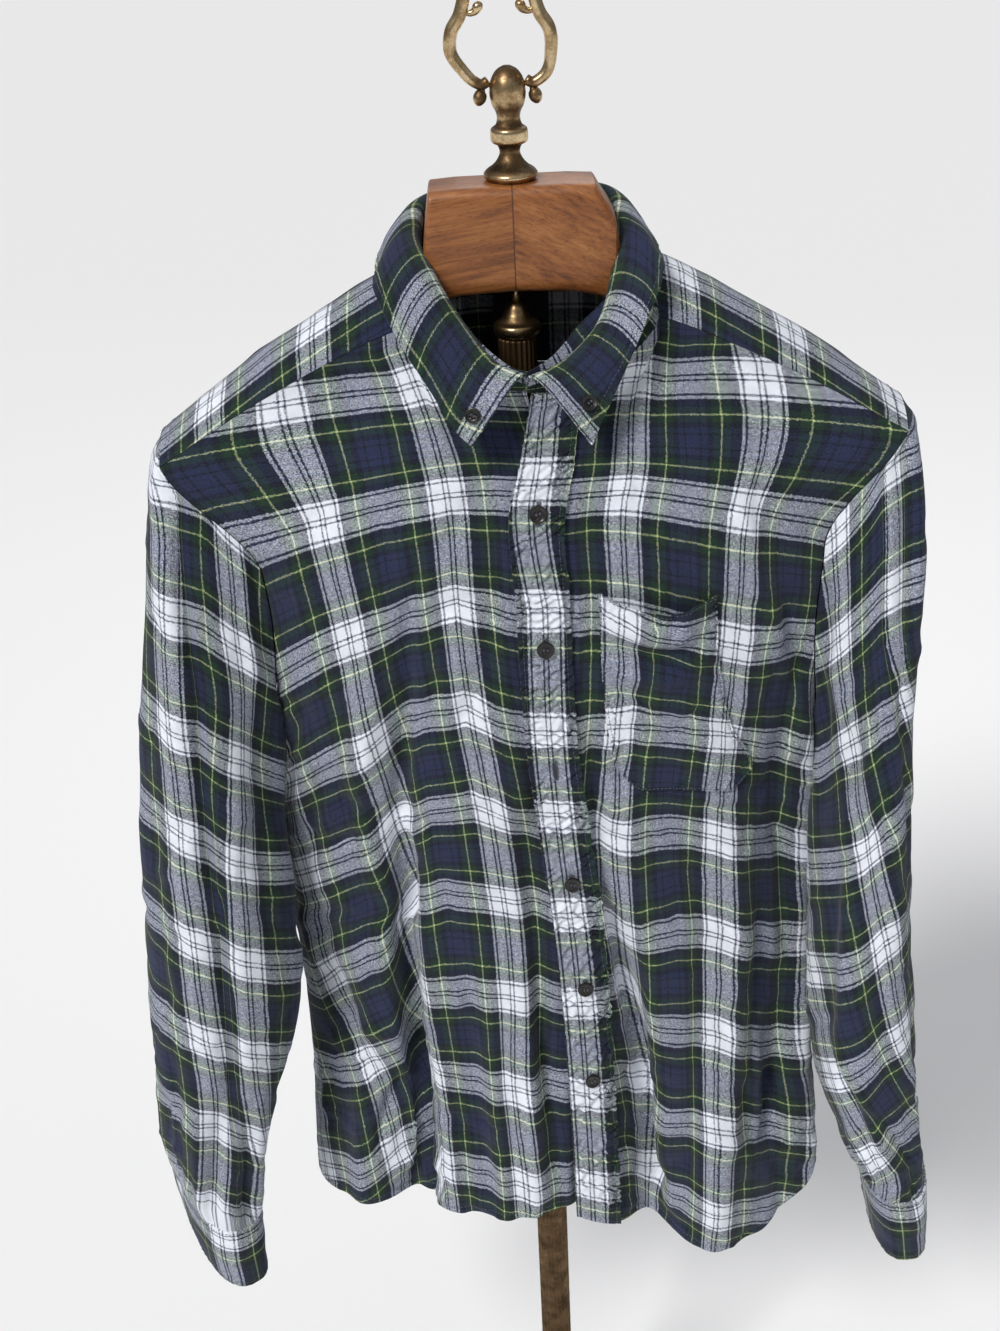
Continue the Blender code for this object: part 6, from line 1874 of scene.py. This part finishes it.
def build_room():
    world = bpy.data.worlds.new("room")
    world.use_nodes = True
    tree = world.node_tree
    back = tree.nodes["Background"]
    back.inputs[0].default_value = (0.95, 0.96, 1.0, 1.0)
    split = tree.nodes.new("ShaderNodeSeparateXYZ")
    sky = tree.nodes.new("ShaderNodeMapRange")
    tree.links.new(tree.nodes.new("ShaderNodeTexCoord").outputs["Generated"], split.inputs[0])
    tree.links.new(split.outputs[2], sky.inputs[0])
    for place, level in ((1, 0.05), (2, 0.85), (3, 0.15), (4, 0.50)):
        sky.inputs[place].default_value = level
    tree.links.new(sky.outputs[0], back.inputs[1])
    seen = tree.nodes.new("ShaderNodeBackground")
    seen.inputs[0].default_value = (1.0, 1.0, 1.0, 1.0)
    seen.inputs[1].default_value = 0.91
    share = tree.nodes.new("ShaderNodeMixShader")
    path = tree.nodes.new("ShaderNodeLightPath")
    tree.links.new(path.outputs["Is Camera Ray"], share.inputs[0])
    tree.links.new(back.outputs[0], share.inputs[1])
    tree.links.new(seen.outputs[0], share.inputs[2])
    tree.links.new(share.outputs[0], tree.nodes["World Output"].inputs[0])
    bpy.context.scene.world = world
    sun_light("key", (-1.2, -1.7, 1.9), 2.42, 16.0, (1.0, 0.99, 0.975))
    area_light("rim", (0.5, 2.0, 2.6), (0.0, 0.0, 1.1), (1.4, 1.4), 12.0)
    mesh = bpy.data.meshes.new("floor")
    mesh.from_pydata([(-40, -20, 0), (40, -20, 0), (40, 60, 0), (-40, 60, 0)], [], [(0, 1, 2, 3)])
    n = Nodes("floor_paint")
    mesh.materials.append(n.finish(Base_Color=(0.90, 0.90, 0.90, 1.0), Roughness=0.95, Specular_IOR_Level=0.1))
    floor = bpy.data.objects.new("floor", mesh)
    bpy.context.scene.collection.objects.link(floor)


def build_camera():
    data = bpy.data.cameras.new("camera")
    data.lens = 47.6
    data.sensor_width = 36.0
    camera = bpy.data.objects.new("camera", data)
    right = (0.9988, -0.0231, -0.0431)
    up = (0.0488, 0.4720, 0.8802)
    back = (0.0, -0.8813, 0.4726)
    place = (-0.021, -1.08, 1.495)
    camera.matrix_world = Matrix([[right[k], up[k], back[k], place[k]] for k in range(3)] + [[0, 0, 0, 1]])
    bpy.context.scene.collection.objects.link(camera)
    bpy.context.scene.camera = camera
    bpy.context.scene.view_settings.view_transform = "Standard"


build_camera()
build_yoke()
build_front(1)
build_front(-1)
build_placket()
build_pocket()
build_back()
for half in (1, -1):
    build_sleeve(half)
    build_cuff(half)
build_collar()
build_label()
build_sewing()
build_buttons()
build_turned("finial_brass", "finial", STEM, 72, 112)
build_turned("column_cap_brass", "column_cap", CAP, 80, 72)
build_turned("base_brass", "base", BASE, 96, 64, AGED)
build_handle()
build_column()
build_hanger()
build_room()
